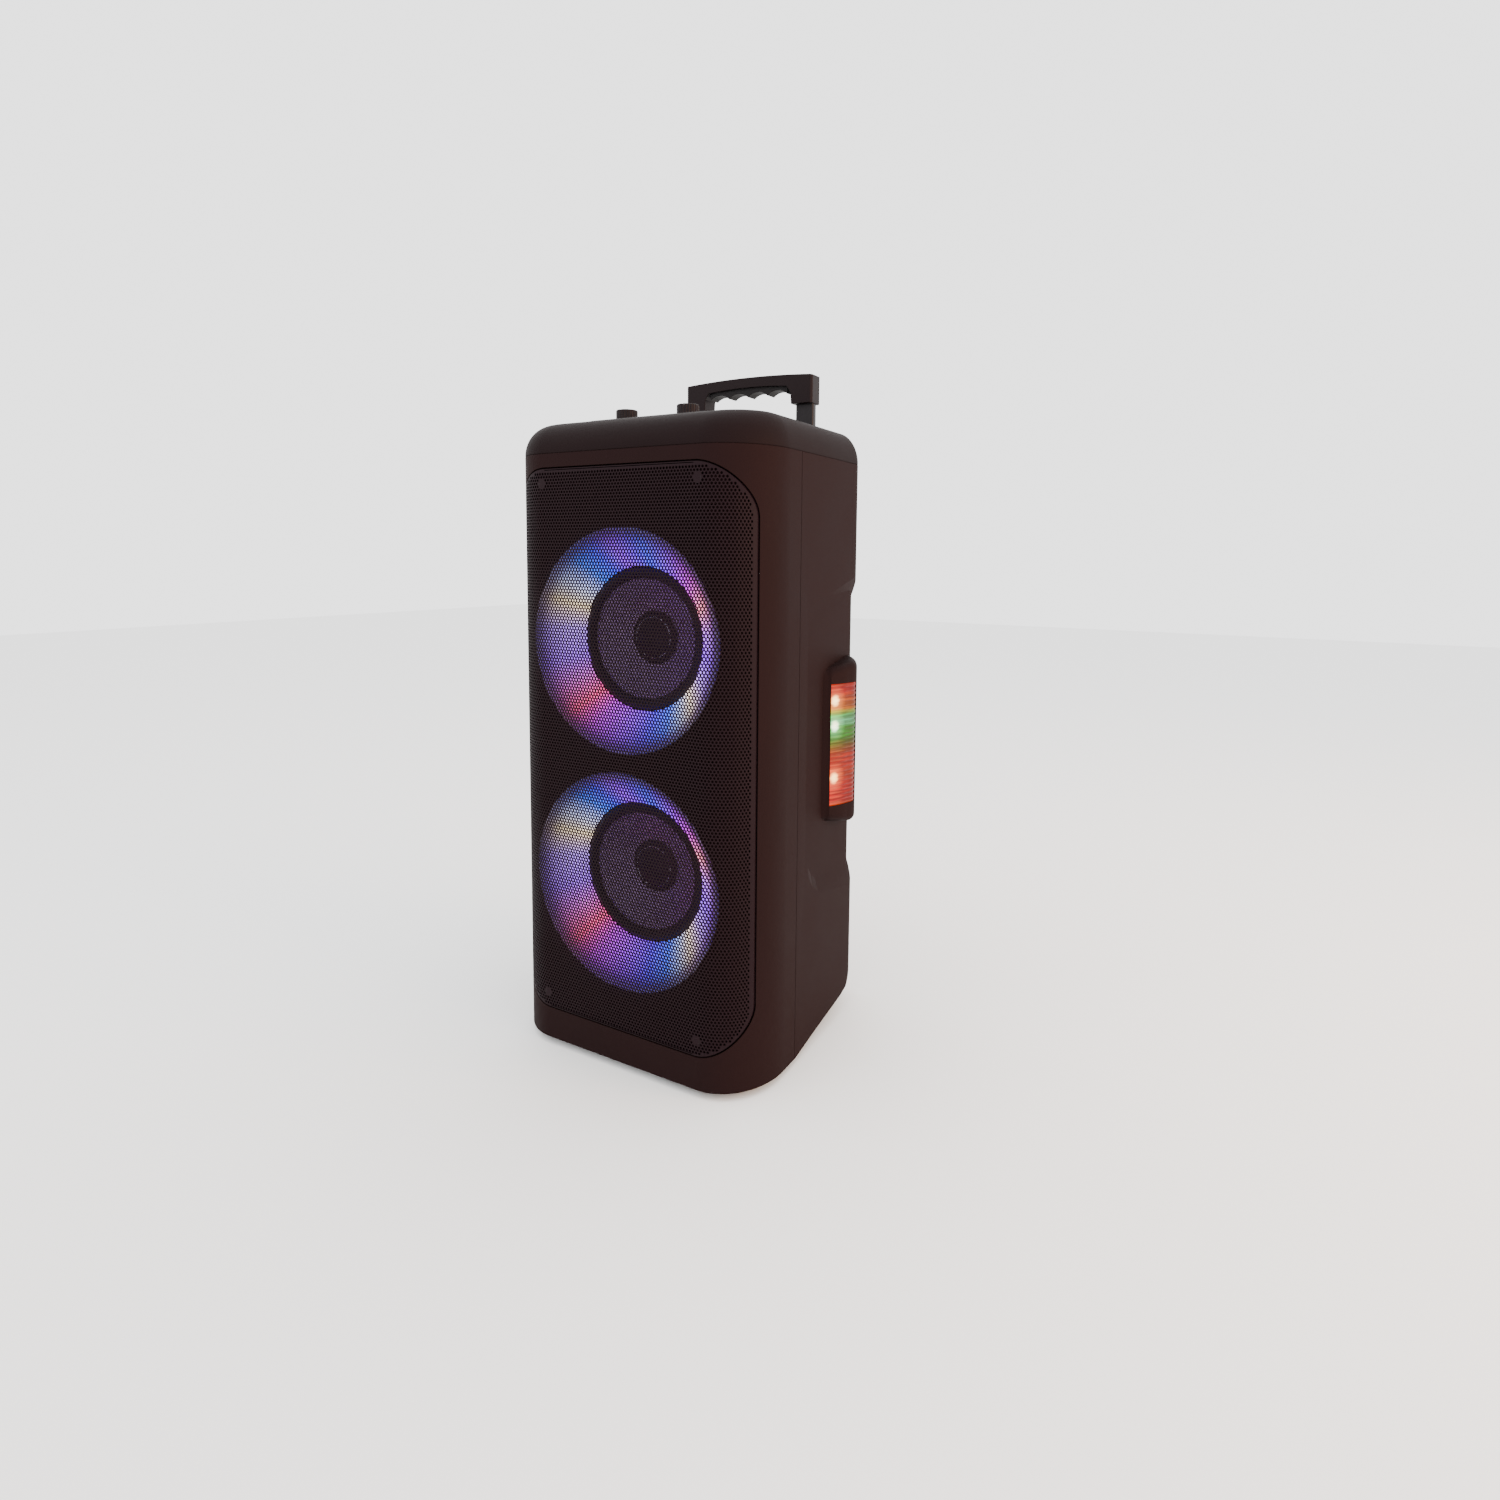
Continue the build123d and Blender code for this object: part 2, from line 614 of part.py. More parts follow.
def pod_solid(inset):
    """Bulging body of the right side light, shrunk by an inset on its outer faces."""
    front = POD_FRONT + inset
    rear = POD_REAR - inset
    base = POD_BASE_X - (CUT if inset else 0)
    shift = inset
    start = (150.0 - shift, front)
    peak = (POD_X - shift, FRONT + 204)
    end = (147.0 - shift, rear)
    edges = [
        Line((base, front - POD_FOOT), (POD_FLOOR_X, front - POD_FOOT)),
        Line((POD_FLOOR_X, front - POD_FOOT), start),
        ThreePointArc(start, (159.2 - shift, FRONT + 187), peak),
        ThreePointArc(peak, (157.4 - shift, FRONT + 219 - 0.5 * shift), end),
        Line(end, (base, rear)),
        Line((base, rear), (base, front - POD_FOOT)),
    ]
    body = prism_z(make_face(Curve() + edges), POD_LOW - 20, POD_HIGH + 20)
    side = [
        (POD_FRONT - 10, POD_LOW + 1 + inset),
        (POD_REAR + 5, POD_LOW - POD_FLARE + inset),
        (POD_REAR + 5, POD_HIGH + POD_FLARE - inset),
        (POD_FRONT - 10, POD_HIGH - 1 - inset),
    ]
    return body & prism_x(outline(side), base, POD_X + CUT)


def lens_zone():
    """Space that the lens fills in the side light's outer wall."""
    return block(149.8, POD_X + CUT, POD_FRONT - CUT, LENS_REAR, LENS_LOW, LENS_HIGH)


def light_housing():
    """Side light housing, open toward the recess and cut out for the lens."""
    return pod_solid(0) - pod_solid(POD_WALL) - lens_zone() - recess_floor(1, 0)


def light_lens():
    """Ribbed lens flush with the housing."""
    return (pod_solid(0) - pod_solid(POD_WALL)) & lens_zone()


def light_leds():
    """Side light circuit board with three LED domes."""
    board = block(144.2, 145.8, FRONT + 174, FRONT + 222, LENS_LOW + 2, LENS_HIGH - 2)
    for z in SIDE_LED_ZS:
        board += rod_x(4.5, 145.0, 149.0, FRONT + 188, z)
    return board


def trolley_cover():
    """Rear frame with the two channels that hold the handle tubes."""
    low, high = COVER_Z
    face = Pos(0, (low + high) / 2) * RectangleRounded(2 * COVER_HALF_W, high - low, 12)
    body = prism_y(face, REAR, TAIL)
    body = fillet(body.faces().sort_by(Axis.Y)[-1].edges(), 8)
    open_low, open_high = COVER_OPEN_Z
    middle = (open_low + open_high) / 2
    opening = Pos(0, middle) * RectangleRounded(2 * COVER_OPEN_HALF_W, open_high - open_low, 10)
    body -= prism_y(opening, REAR - CUT, TAIL + CUT)
    width, depth, _ = TUBE_SIZES["outer"]
    for x in (-TUBE_X, TUBE_X):
        front = REAR - CUT
        back = TUBE_Y + depth / 2 + 0.1
        half = width / 2 + 0.1
        body -= block(x - half, x + half, front, back, TUBE_LOW + 6, high + CUT)
    return body


def tube(size, low, high):
    """One rectangular handle tube on each side, open at both ends."""
    width, depth, wall = TUBE_SIZES[size]
    section = RectangleRounded(width, depth, 3) - RectangleRounded(width - 2 * wall, depth - 2 * wall, 2)
    return both_sides(Pos(TUBE_X, TUBE_Y) * prism_z(section, low, high))


def grip_body():
    """Full grip outline with its arched top and two end blocks."""
    top = ThreePointArc((-GRIP_HALF_W, GRIP_END_TOP), (0, GRIP_TOP), (GRIP_HALF_W, GRIP_END_TOP))
    lip_x = GRIP_BLOCK_X - LIP_CORNER[0]
    lip = ThreePointArc((lip_x, LIP_END), (0, LIP_MID), (-lip_x, LIP_END))
    leg = [(GRIP_HALF_W, GRIP_END_TOP), (GRIP_HALF_W, GRIP_LOW), (GRIP_BLOCK_X, GRIP_LOW)]
    leg += [(GRIP_BLOCK_X - 1, LIP_END - LIP_CORNER[1]), (lip_x, LIP_END)]
    edges = [top, Polyline(*leg), lip, Polyline(*[(-x, z) for x, z in reversed(leg)])]
    body = prism_y(make_face(Curve() + edges), *GRIP_Y)
    return body


def insert_zone(gap):
    """Pocket under the grip that holds the scalloped insert."""
    x = GRIP_BLOCK_X - 4.5 + gap
    return block(-x, x, GRIP_Y[0] + 3 - gap, GRIP_Y[1] - 3 + gap, CUSP_Z - 12, INSERT_TOP)


def grip_shell():
    """Grip with sockets for the tubes, a pocket for the insert and the button slot."""
    body = grip_body()
    body = chamfer(body.edges().filter_by(Axis.Z).group_by(Axis.X)[0], 2.5)
    body = chamfer(body.edges().filter_by(Axis.Z).group_by(Axis.X)[-1], 2.5)
    body -= insert_zone(0)
    width, depth, _ = TUBE_SIZES["inner"]
    for x in (-TUBE_X, TUBE_X):
        body -= Pos(x, TUBE_Y, GRIP_LOW + 9) * Box(width, depth, 18.01)
    length, breadth = RELEASE
    body -= Pos(0, TUBE_Y, GRIP_TOP) * Box(length + 0.8, breadth + 0.8, 30)
    return body


def grip_insert():
    """Soft insert with four finger scallops."""
    half = 2 * SCALLOP
    edges = []
    for i in range(4):
        x = i * SCALLOP - half
        edges.append(ThreePointArc((x, CUSP_Z), (x + SCALLOP / 2, CUSP_Z + SCALLOP_RISE), (x + SCALLOP, CUSP_Z)))
    edges.append(Polyline((half, CUSP_Z), (half + 1, INSERT_TOP), (-half - 1, INSERT_TOP), (-half, CUSP_Z)))
    return prism_y(make_face(Curve() + edges), GRIP_Y[0] + 3, GRIP_Y[1] - 3)


def release_button():
    """Push button in the top of the grip that frees the tubes."""
    length, breadth = RELEASE
    return block(-length / 2, length / 2, TUBE_Y - breadth / 2, TUBE_Y + breadth / 2, INSERT_TOP + 2.5, GRIP_TOP - 0.2)


def wheel_hub():
    """Right wheel hub with five spokes and its bore."""
    x0, x1 = WHEEL_X - WHEEL_W / 2, WHEEL_X + WHEEL_W / 2
    bore = AXLE_R + AXLE_GAP
    body = turned_x([(x0, bore), (x1, bore), (x1, 10), (x0, 10)], WHEEL_Y, WHEEL_R)
    rim_out = WHEEL_R - 6
    body += turned_x([(x0 + 2, 20), (x1 - 2, 20), (x1 - 2, rim_out), (x0 + 2, rim_out)], WHEEL_Y, WHEEL_R)
    for i in range(5):
        spoke = block(WHEEL_X - 6, WHEEL_X + 6, -3, 3, 8, 22)
        body += Pos(0, WHEEL_Y, WHEEL_R) * Rot(72 * i, 0, 0) * spoke
    return body


def wheel_tyre():
    """Right tyre, with rounded shoulders and a groove round its tread."""
    x0, x1 = WHEEL_X - WHEEL_W / 2 + 1, WHEEL_X + WHEEL_W / 2 - 1
    inner = WHEEL_R - 6
    points = [(x0, inner), (x1, inner), (x1, WHEEL_R - 3), (x1 - 3, WHEEL_R)]
    points += [(WHEEL_X + 1.2, WHEEL_R), (WHEEL_X + 1.2, WHEEL_R - 1.2), (WHEEL_X - 1.2, WHEEL_R - 1.2)]
    points += [(WHEEL_X - 1.2, WHEEL_R), (x0 + 3, WHEEL_R), (x0, WHEEL_R - 3)]
    return turned_x(points, WHEEL_Y, WHEEL_R)


def wheel_axles():
    """Fixed steel stub axle in each wheel well, with a head that keeps the wheel on."""
    head = rod_x(AXLE_R + 3, AXLE_HEAD_X, AXLE_HEAD_X + 2, WHEEL_Y, WHEEL_R)
    return both_sides(rod_x(AXLE_R, AXLE_LOW_X + 2, AXLE_HEAD_X + 1, WHEEL_Y, WHEEL_R) + head)


def front_feet():
    """Two rubber feet under the front of the cabinet."""
    foot = rod_z(15, 0, BASE_Z, 98, FRONT + 48)
    return both_sides(fillet(foot.faces().sort_by(Axis.Z)[0].edges(), 1.5))


def rear_panel():
    """Connection plate on the rear wall."""
    low, high = REAR_PANEL_Z
    face = Pos(0, (low + high) / 2) * RectangleRounded(2 * REAR_PANEL_X, high - low, 6)
    body = prism_y(face, REAR, REAR + PANEL_PLATE_T)
    for z in JACK_ZS:
        body -= rod_y(6.5, REAR - CUT, REAR + 5, JACK_X, z)
    body -= Pos(USB_AT[0], REAR, USB_AT[1]) * Box(15, 20, 8)
    body -= Pos(INLET_AT[0], REAR, INLET_AT[1]) * Box(26, 20, 18)
    body -= Pos(ROCKER_AT[0], REAR, ROCKER_AT[1]) * Box(22, 20, 15)
    for x, z in case_screw_spots()[-4:]:
        body -= rod_y(SCREW_HOLE_R, REAR - CUT, REAR + 5, x, z)
    return body


def mic_jacks():
    """Two microphone sockets with their nuts."""
    jacks = []
    for z in JACK_ZS:
        body = rod_y(8, REAR - 24, REAR, JACK_X, z)
        body += rod_y(6.4, REAR - CUT, REAR + PANEL_PLATE_T + 2.5, JACK_X, z)
        body -= rod_y(JACK_R, REAR - 20, REAR + 9, JACK_X, z)
        jacks.append(body.solid())
    return Compound(jacks)


def usb_port():
    """USB socket shell with its contact tongue."""
    x, z = USB_AT
    shell = Pos(x, REAR - 3, z) * Box(14.6, 14, 7.6)
    shell -= Pos(x, REAR - 1, z) * Box(13.4, 14, 6.4)
    tongue = Pos(x, REAR - 4.5, z + 2.1) * Box(11, 10, 1.4)
    return shell + tongue


def mains_inlet():
    """Two-pin mains inlet with a rounded cavity."""
    x, z = INLET_AT
    body = Pos(x, REAR - 6, z) * Box(25.8, 20, 17.8)
    cavity = Pos(x, z) * RectangleRounded(17, 9, 4.3)
    body -= prism_y(cavity, REAR - 10, REAR + 9)
    for pin in (-4.3, 4.3):
        body += rod_y(1.2, REAR - 11, REAR + 1, x + pin, z)
    return body


def power_rocker():
    """Rocker of the power switch, tilted to the side it rests on."""
    x, z = ROCKER_AT
    points = [(-5.6, 3.2), (-5.6, 5.6), (0, 3.6), (5.6, 5.6), (5.6, 3.2), (2.6, 0), (-2.6, 0)]
    rocker = prism_x(outline([(up - ROCKER_PIVOT, across) for across, up in points]), x - 8, x + 8)
    return Pos(0, REAR + ROCKER_PIVOT, z) * Rot(ROCKER_TILT, 0, 0) * rocker


def power_switch():
    """Body of the power switch, open to the rear for its rocker."""
    x, z = ROCKER_AT
    body = Pos(x, REAR - 6, z) * Box(21.6, 18, 14.8)
    body -= Pos(x, REAR, z) * Box(17, 14, 13)
    return body


def bass_port():
    """Flared vent tube through the rear wall."""
    front = REAR - 100
    lip = REAR + 4
    points = [(PORT_R, front), (PORT_R + 2.8, front), (PORT_R + 2.8, REAR), (PORT_R + 9, REAR)]
    points += [(PORT_R + 9, REAR + 2), (PORT_R + 5, lip), (PORT_R, REAR - 5)]
    return turned_y(points, PORT_Z)


def amplifier_board():
    """Amplifier board with heat sink fins and capacitors."""
    back = REAR - 34
    body = block(-62, 62, back - 1.6, back, 335, 475)
    for i in range(7):
        x = -40 + 8 * i
        body += block(x, x + 3, back - 26, back - 1, 400, 460)
    body += block(-40, 11, back - 5, back - 1, 400, 460)
    for z in (350, 374):
        body += rod_y(9, back - 26, back - 1, 40, z)
    return body


def power_supply():
    """Mains supply board with its transformer."""
    back = REAR - 8
    body = block(-50, 50, back - 1.6, back, 256, 322)
    body += block(-20, 15, back - 31, back - 1, 270, 308)
    for x in (-35, 32):
        body += rod_y(8, back - 25, back - 1, x, 290)
    return body


def battery_pack():
    """Sealed 12 V battery lying on the cabinet floor."""
    floor = BASE_Z + WALL
    body = block(-75.5, 75.5, FRONT + 145, FRONT + 210, floor, floor + 94)
    for x in (-62, 62):
        body += block(x - 2.4, x + 2.4, FRONT + 170, FRONT + 170.8, floor + 93, floor + 99)
    return body


def case_screw_spots():
    """Places of the screws on the rear wall; the last four hold the connection plate."""
    spots = [(x, z) for x in (-110.0, 110.0) for z in (96.0, 220.0, 345.0, 470.0, 590.0)]
    low, high = REAR_PANEL_Z
    spots += [(x, z) for x in (3.0 - REAR_PANEL_X, REAR_PANEL_X - 3.0) for z in (low + 3, high - 3)]
    return spots


def case_screws():
    """Rear wall screws."""
    screws = []
    for i, (x, z) in enumerate(case_screw_spots()):
        seat = REAR + (PANEL_PLATE_T if i >= 10 else 0)
        head = rod_y(2.9, seat, seat + 1.6, x, z)
        shank = rod_y(SCREW_HOLE_R - 0.1, REAR - 8, seat + CUT, x, z)
        screws.append((head + shank).solid())
    return Compound(screws)


def handed_pairs():
    """Pieces made on the right and mirrored to the left."""
    makers = {
        "light_housing": light_housing,
        "light_lens": light_lens,
        "wheel_hub": wheel_hub,
        "wheel_tyre": wheel_tyre,
    }
    pieces = {}
    for name, make in makers.items():
        right = make()
        pieces["right_" + name] = right
        pieces["left_" + name] = mirror(right, Plane.YZ)
    return pieces


def driver_pieces():
    """Pieces repeated at each driver."""
    makers = {
        "ring_diffuser": ring_diffuser,
        "surround": surround,
        "cone": cone,
        "dust_cap": dust_cap,
        "voice_coil": voice_coil,
        "spider": spider,
    }
    return {place + "_" + name: make(z) for place, z in DRIVERS.items() for name, make in makers.items()}


def all_pieces():
    """Every node of the speaker by name."""
    pieces = {
        "front_shell": front_shell(),
        "rear_shell": rear_shell(),
        "top_cap": top_cap(),
        "control_panel": control_panel(),
        "display_window": display_window(),
        "control_board": control_board(),
        "potentiometers": potentiometers(),
        "grille_panel": grille_panel(),
        "grille_screws": grille_screws(),
        "ring_light_boards": at_drivers(ring_leds),
        "driver_frames": at_drivers(driver_frame),
        "driver_magnets": at_drivers(driver_magnet),
        "driver_screws": driver_screws(),
        "side_light_boards": both_sides(light_leds()),
        "trolley_cover": trolley_cover(),
        "outer_tubes": tube("outer", TUBE_LOW + 6, COVER_Z[1]),
        "middle_tubes": tube("middle", TUBE_LOW + 7, COVER_Z[1] + 1),
        "inner_tubes": tube("inner", TUBE_LOW + 8, GRIP_LOW + 18),
        "grip_shell": grip_shell(),
        "grip_insert": grip_insert(),
        "release_button": release_button(),
        "wheel_axles": wheel_axles(),
        "front_feet": front_feet(),
        "rear_panel": rear_panel(),
        "mic_jacks": mic_jacks(),
        "usb_port": usb_port(),
        "mains_inlet": mains_inlet(),
        "power_switch": power_switch(),
        "power_rocker": power_rocker(),
        "bass_port": bass_port(),
        "amplifier_board": amplifier_board(),
        "power_supply": power_supply(),
        "battery_pack": battery_pack(),
        "case_screws": case_screws(),
        "left_knob": knob(-KNOB_X),
        "right_knob": knob(KNOB_X),
    }
    for name, x in zip(BUTTONS, button_xs()):
        pieces[name + "_button"] = push_button(x)
    pieces.update(handed_pairs())
    pieces.update(driver_pieces())
    return pieces


os.makedirs("parts", exist_ok=True)
for name, piece in all_pieces().items():
    export_step(piece, "parts/" + name + ".step")
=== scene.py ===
"""Looks of the party speaker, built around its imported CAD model. Units are metres."""

from math import atan2, cos, hypot, pi, radians, sin, sqrt

import bmesh
import bpy
from mathutils import Matrix, Vector


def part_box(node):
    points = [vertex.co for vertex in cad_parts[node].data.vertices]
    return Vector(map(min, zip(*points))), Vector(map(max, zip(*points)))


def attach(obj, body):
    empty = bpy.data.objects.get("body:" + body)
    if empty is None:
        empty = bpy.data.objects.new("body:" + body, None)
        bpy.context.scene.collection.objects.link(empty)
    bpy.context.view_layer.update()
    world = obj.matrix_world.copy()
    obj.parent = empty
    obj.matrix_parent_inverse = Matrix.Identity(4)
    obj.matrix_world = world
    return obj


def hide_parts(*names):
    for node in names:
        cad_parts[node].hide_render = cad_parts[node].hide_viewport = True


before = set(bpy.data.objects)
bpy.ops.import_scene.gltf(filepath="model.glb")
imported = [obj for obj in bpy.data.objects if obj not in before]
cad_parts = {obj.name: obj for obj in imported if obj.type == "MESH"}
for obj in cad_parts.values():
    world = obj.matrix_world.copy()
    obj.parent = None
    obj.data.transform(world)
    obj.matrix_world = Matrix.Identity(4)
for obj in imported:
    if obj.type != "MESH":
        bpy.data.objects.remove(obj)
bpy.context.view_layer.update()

MM = 0.001
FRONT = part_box("grille_panel")[0][1]

# Plan of the cabinet: flat front, then elliptical corners.
HALF_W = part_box("front_shell")[1][0]
FLAT_HALF_W = 92.7 * MM
CORNER_RX = HALF_W - FLAT_HALF_W
CORNER_RY = 70.1 * MM

# Grille sheet
GRILLE_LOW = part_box("grille_panel")[0][2]
GRILLE_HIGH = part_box("grille_panel")[1][2]
GRILLE_HALF_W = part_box("grille_panel")[1][0]
GRILLE_CORNER_R = 50 * MM
CORNER_STEPS = 14
GRILLE_T = 1.2 * MM
HOLE_PITCH = 3.5 * MM
ROW_STEP = HOLE_PITCH * sqrt(3) / 2
HOLE_SHARE = 0.70
GRILLE_BORDER = 0.6 * MM
RIM_STEP = 6 * MM
SCREW_CLEAR = 4.0 * MM
SCREW_HEAD_R = 4.3 * MM

# Drivers
DRIVERS = {
    place: (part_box(place + "_ring_diffuser")[0][2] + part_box(place + "_ring_diffuser")[1][2]) / 2
    for place in ("upper", "lower")
}
RING_R = 110.5 * MM
RING_INNER_R = 73.1 * MM
RING_DEPTH = (7.0 * MM, 40.5 * MM)
RING_WALL = 3.4 * MM
CONE_R = 62.5 * MM
CONE_DEPTH = 45.6 * MM
CONE_SLOPE = 0.514
COIL_R = 18.7 * MM
DUST_CAP_R = 27.5 * MM
DUST_CAP_RISE = 8.0 * MM
ROLL_R = 4.8 * MM
ROLL_MIDDLE_R = 66.8 * MM
BEAD_R = 21 * MM
BEAD_T = 0.35 * MM
TURNS = 128
RING_POWER = 3.1
LENS_POWER = 0.95
SPOT_POWER = 4.5

# Side light
POD_FLOOR_X = 142.9 * MM
POD_FRONT = FRONT + 169 * MM
POD_REAR = FRONT + 232 * MM
RECESS_CORNER_R = 18 * MM
REAR = FRONT + 248 * MM
POD_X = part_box("right_light_housing")[1][0]
POD_LOW = 233 * MM
POD_HIGH = 397 * MM
POD_FLARE = 11 * MM
POD_FOOT = 6 * MM
POD_ROUND = 9 * MM
POD_ROUND_STEPS = 7
POD_WALL_POINTS = 3
LENS_LOW, LENS_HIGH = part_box("right_light_lens")[0][2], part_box("right_light_lens")[1][2]
LENS_REAR = FRONT + 205 * MM
LENS_RIBS = 26
SIDE_LED_ZS = (280 * MM, 336 * MM, 363 * MM)
LED_X = 152 * MM
LED_DEPTH = 6 * MM
SPOT_R = 14 * MM

# Painted light: warm tint on the plastics' reflections, standing in for the orange glow of the side lights.
PAINTED_GLOW_TINT = (1.0, 0.72, 0.74, 1)

# Small pieces
TYRE_TURNS = 144
GROOVE_EVERY = 4
GROOVE_DEPTH = 0.7 * MM
MARK_T = 0.06 * MM
MARK_GAP = 13.5 * MM
SCALE_R = 15.0 * MM
ARC_STEPS = 18
BAR_HEIGHTS = (3, 5, 4, 7, 6, 8, 7, 5, 6, 4, 3, 2)


# ---------------------------------------------------------------- materials


class Look:
    """A material under construction: adds nodes and links them in one call each."""

    def __init__(self, name):
        self.material = bpy.data.materials.new(name)
        self.material.use_nodes = True
        self.tree = self.material.node_tree
        self.shader = self.tree.nodes["Principled BSDF"]
        self.place = self.add("ShaderNodeTexCoord").outputs["Object"]

    def add(self, kind, links=None, **settings):
        """A node with its settings, and links from other nodes' outputs or plain values to its inputs."""
        node = self.tree.nodes.new(kind)
        for key, value in settings.items():
            setattr(node, key, value)
        for socket, source in (links or {}).items():
            self.join(source, node.inputs[socket])
        return node

    def join(self, source, socket):
        """Links an output to a socket, or sets the socket's value."""
        if isinstance(source, bpy.types.NodeSocket):
            self.tree.links.new(source, socket)
        else:
            socket.default_value = source

    def set(self, **values):
        """Sets or links inputs of the Principled shader, with _ for spaces in their names."""
        for name, value in values.items():
            self.join(value, self.shader.inputs[name.replace("_", " ")])
        return self

    def math(self, operation, *values):
        """One math node's output."""
        node = self.add("ShaderNodeMath", operation=operation)
        for i, value in enumerate(values):
            self.join(value, node.inputs[i])
        return node.outputs[0]

    def noise(self, scale, detail=4.0, rough=0.55, stretch=None):
        """Noise value over the object, optionally stretched along an axis."""
        source = self.place
        if stretch:
            mapping = self.add("ShaderNodeMapping", {"Vector": source, "Scale": stretch})
            source = mapping.outputs[0]
        links = {"Vector": source, "Scale": scale, "Detail": detail, "Roughness": rough}
        return self.add("ShaderNodeTexNoise", links).outputs["Fac"]

    def ramp(self, factor, stops):
        """Colour ramp output; stops are (position, colour) with grey given as one number."""
        node = self.add("ShaderNodeValToRGB", {"Fac": factor})
        elements = node.color_ramp.elements
        while len(elements) < len(stops):
            elements.new(0.5)
        for element, (position, colour) in zip(elements, stops):
            element.position = position
            rgb = (colour,) * 3 if isinstance(colour, (int, float)) else colour
            element.color = (*rgb, 1)
        return node.outputs["Color"]

    def bump(self, height, distance, strength=1.0, after=None):
        """Bump normal from a height."""
        links = {"Height": height, "Distance": distance, "Strength": strength}
        if after is not None:
            links["Normal"] = after
        return self.add("ShaderNodeBump", links).outputs["Normal"]

    def polar(self, centre_z):
        """X, height over a centre and distance from that centre, in the elevation."""
        split = self.add("ShaderNodeSeparateXYZ", {"Vector": self.place})
        across = split.outputs["X"]
        up = self.math("SUBTRACT", split.outputs["Z"], centre_z)
        squares = self.math("ADD", self.math("MULTIPLY", across, across), self.math("MULTIPLY", up, up))
        return across, up, self.math("SQRT", squares)

    def mix(self, factor, one, two):
        """Mix of two colours."""
        node = self.add("ShaderNodeMix", data_type="RGBA")
        self.join(factor, node.inputs["Factor"])
        self.join(one, node.inputs[6])
        self.join(two, node.inputs[7])
        return node.outputs[2]


def shade(colour, factor):
    """A colour made darker or lighter."""
    return tuple(min(c * factor, 1.0) for c in colour)


def moulded(name, colour, rough=0.5, grain=1400.0, depth=0.06, specular=0.16):
    """Moulded plastic: spark-eroded grain, uneven sheen, fine dust and a few scuffs; reflections tinted
    warm as painted orange glow from the side lights.
    """
    look = Look(name)
    fine = look.noise(grain, detail=3.0)
    broad = look.noise(9.0, detail=5.0)
    scratch = look.noise(60.0, detail=6.0, rough=0.7, stretch=(1.0, 14.0, 1.6))
    scuff = look.ramp(scratch, [(0.66, 0.0), (0.74, 0.4)])
    dust = look.ramp(look.noise(240.0, detail=8.0, rough=0.75), [(0.60, 0.0), (0.78, 0.35)])
    base = look.mix(broad, (*shade(colour, 0.8), 1), (*shade(colour, 1.2), 1))
    worn = look.mix(scuff, base, (*shade(colour, 2.2), 1))
    dusty = look.mix(look.math("MULTIPLY", dust, 0.10), worn, (0.06, 0.055, 0.05, 1))
    sheen = look.math("MULTIPLY_ADD", broad, 0.22, rough - 0.11)
    sheen = look.math("MULTIPLY_ADD", scuff, 0.12, sheen)
    look.set(Base_Color=dusty, Roughness=look.math("MULTIPLY_ADD", fine, 0.08, sheen))
    # The specular tint paints the side lights' orange glow into the reflections.
    look.set(Normal=look.bump(fine, depth * MM, 0.8), Specular_IOR_Level=specular, Specular_Tint=PAINTED_GLOW_TINT)
    return look.material


def metal(name, colour, rough, stretch=(1.0, 1.0, 1.0), metallic=1.0, specular=0.5):
    """Metal with fine grinding lines or, unstretched, a slight orange peel."""
    look = Look(name)
    lines = look.noise(700.0, detail=4.0, stretch=stretch)
    smudge = look.noise(14.0, detail=4.0)
    look.set(Base_Color=look.mix(lines, (*shade(colour, 0.85), 1), (*shade(colour, 1.12), 1)))
    base = look.math("MULTIPLY_ADD", smudge, 0.16, rough - 0.08)
    look.set(Roughness=look.math("MULTIPLY_ADD", lines, 0.10, base))
    look.set(Metallic=metallic, Specular_IOR_Level=specular)
    look.set(Normal=look.bump(lines, 0.02 * MM, 0.6))
    return look.material


def rubbery(name, colour, rough=0.62):
    """Soft rubber with pores and a dull bloom."""
    look = Look(name)
    pores = look.noise(900.0, detail=5.0, rough=0.65)
    bloom = look.noise(22.0, detail=5.0)
    look.set(Base_Color=look.mix(bloom, (*shade(colour, 0.75), 1), (*shade(colour, 1.6), 1)))
    look.set(Roughness=look.math("MULTIPLY_ADD", bloom, 0.18, rough - 0.05), Specular_IOR_Level=0.16)
    look.set(Normal=look.bump(pores, 0.09 * MM, 0.8))
    return look.material


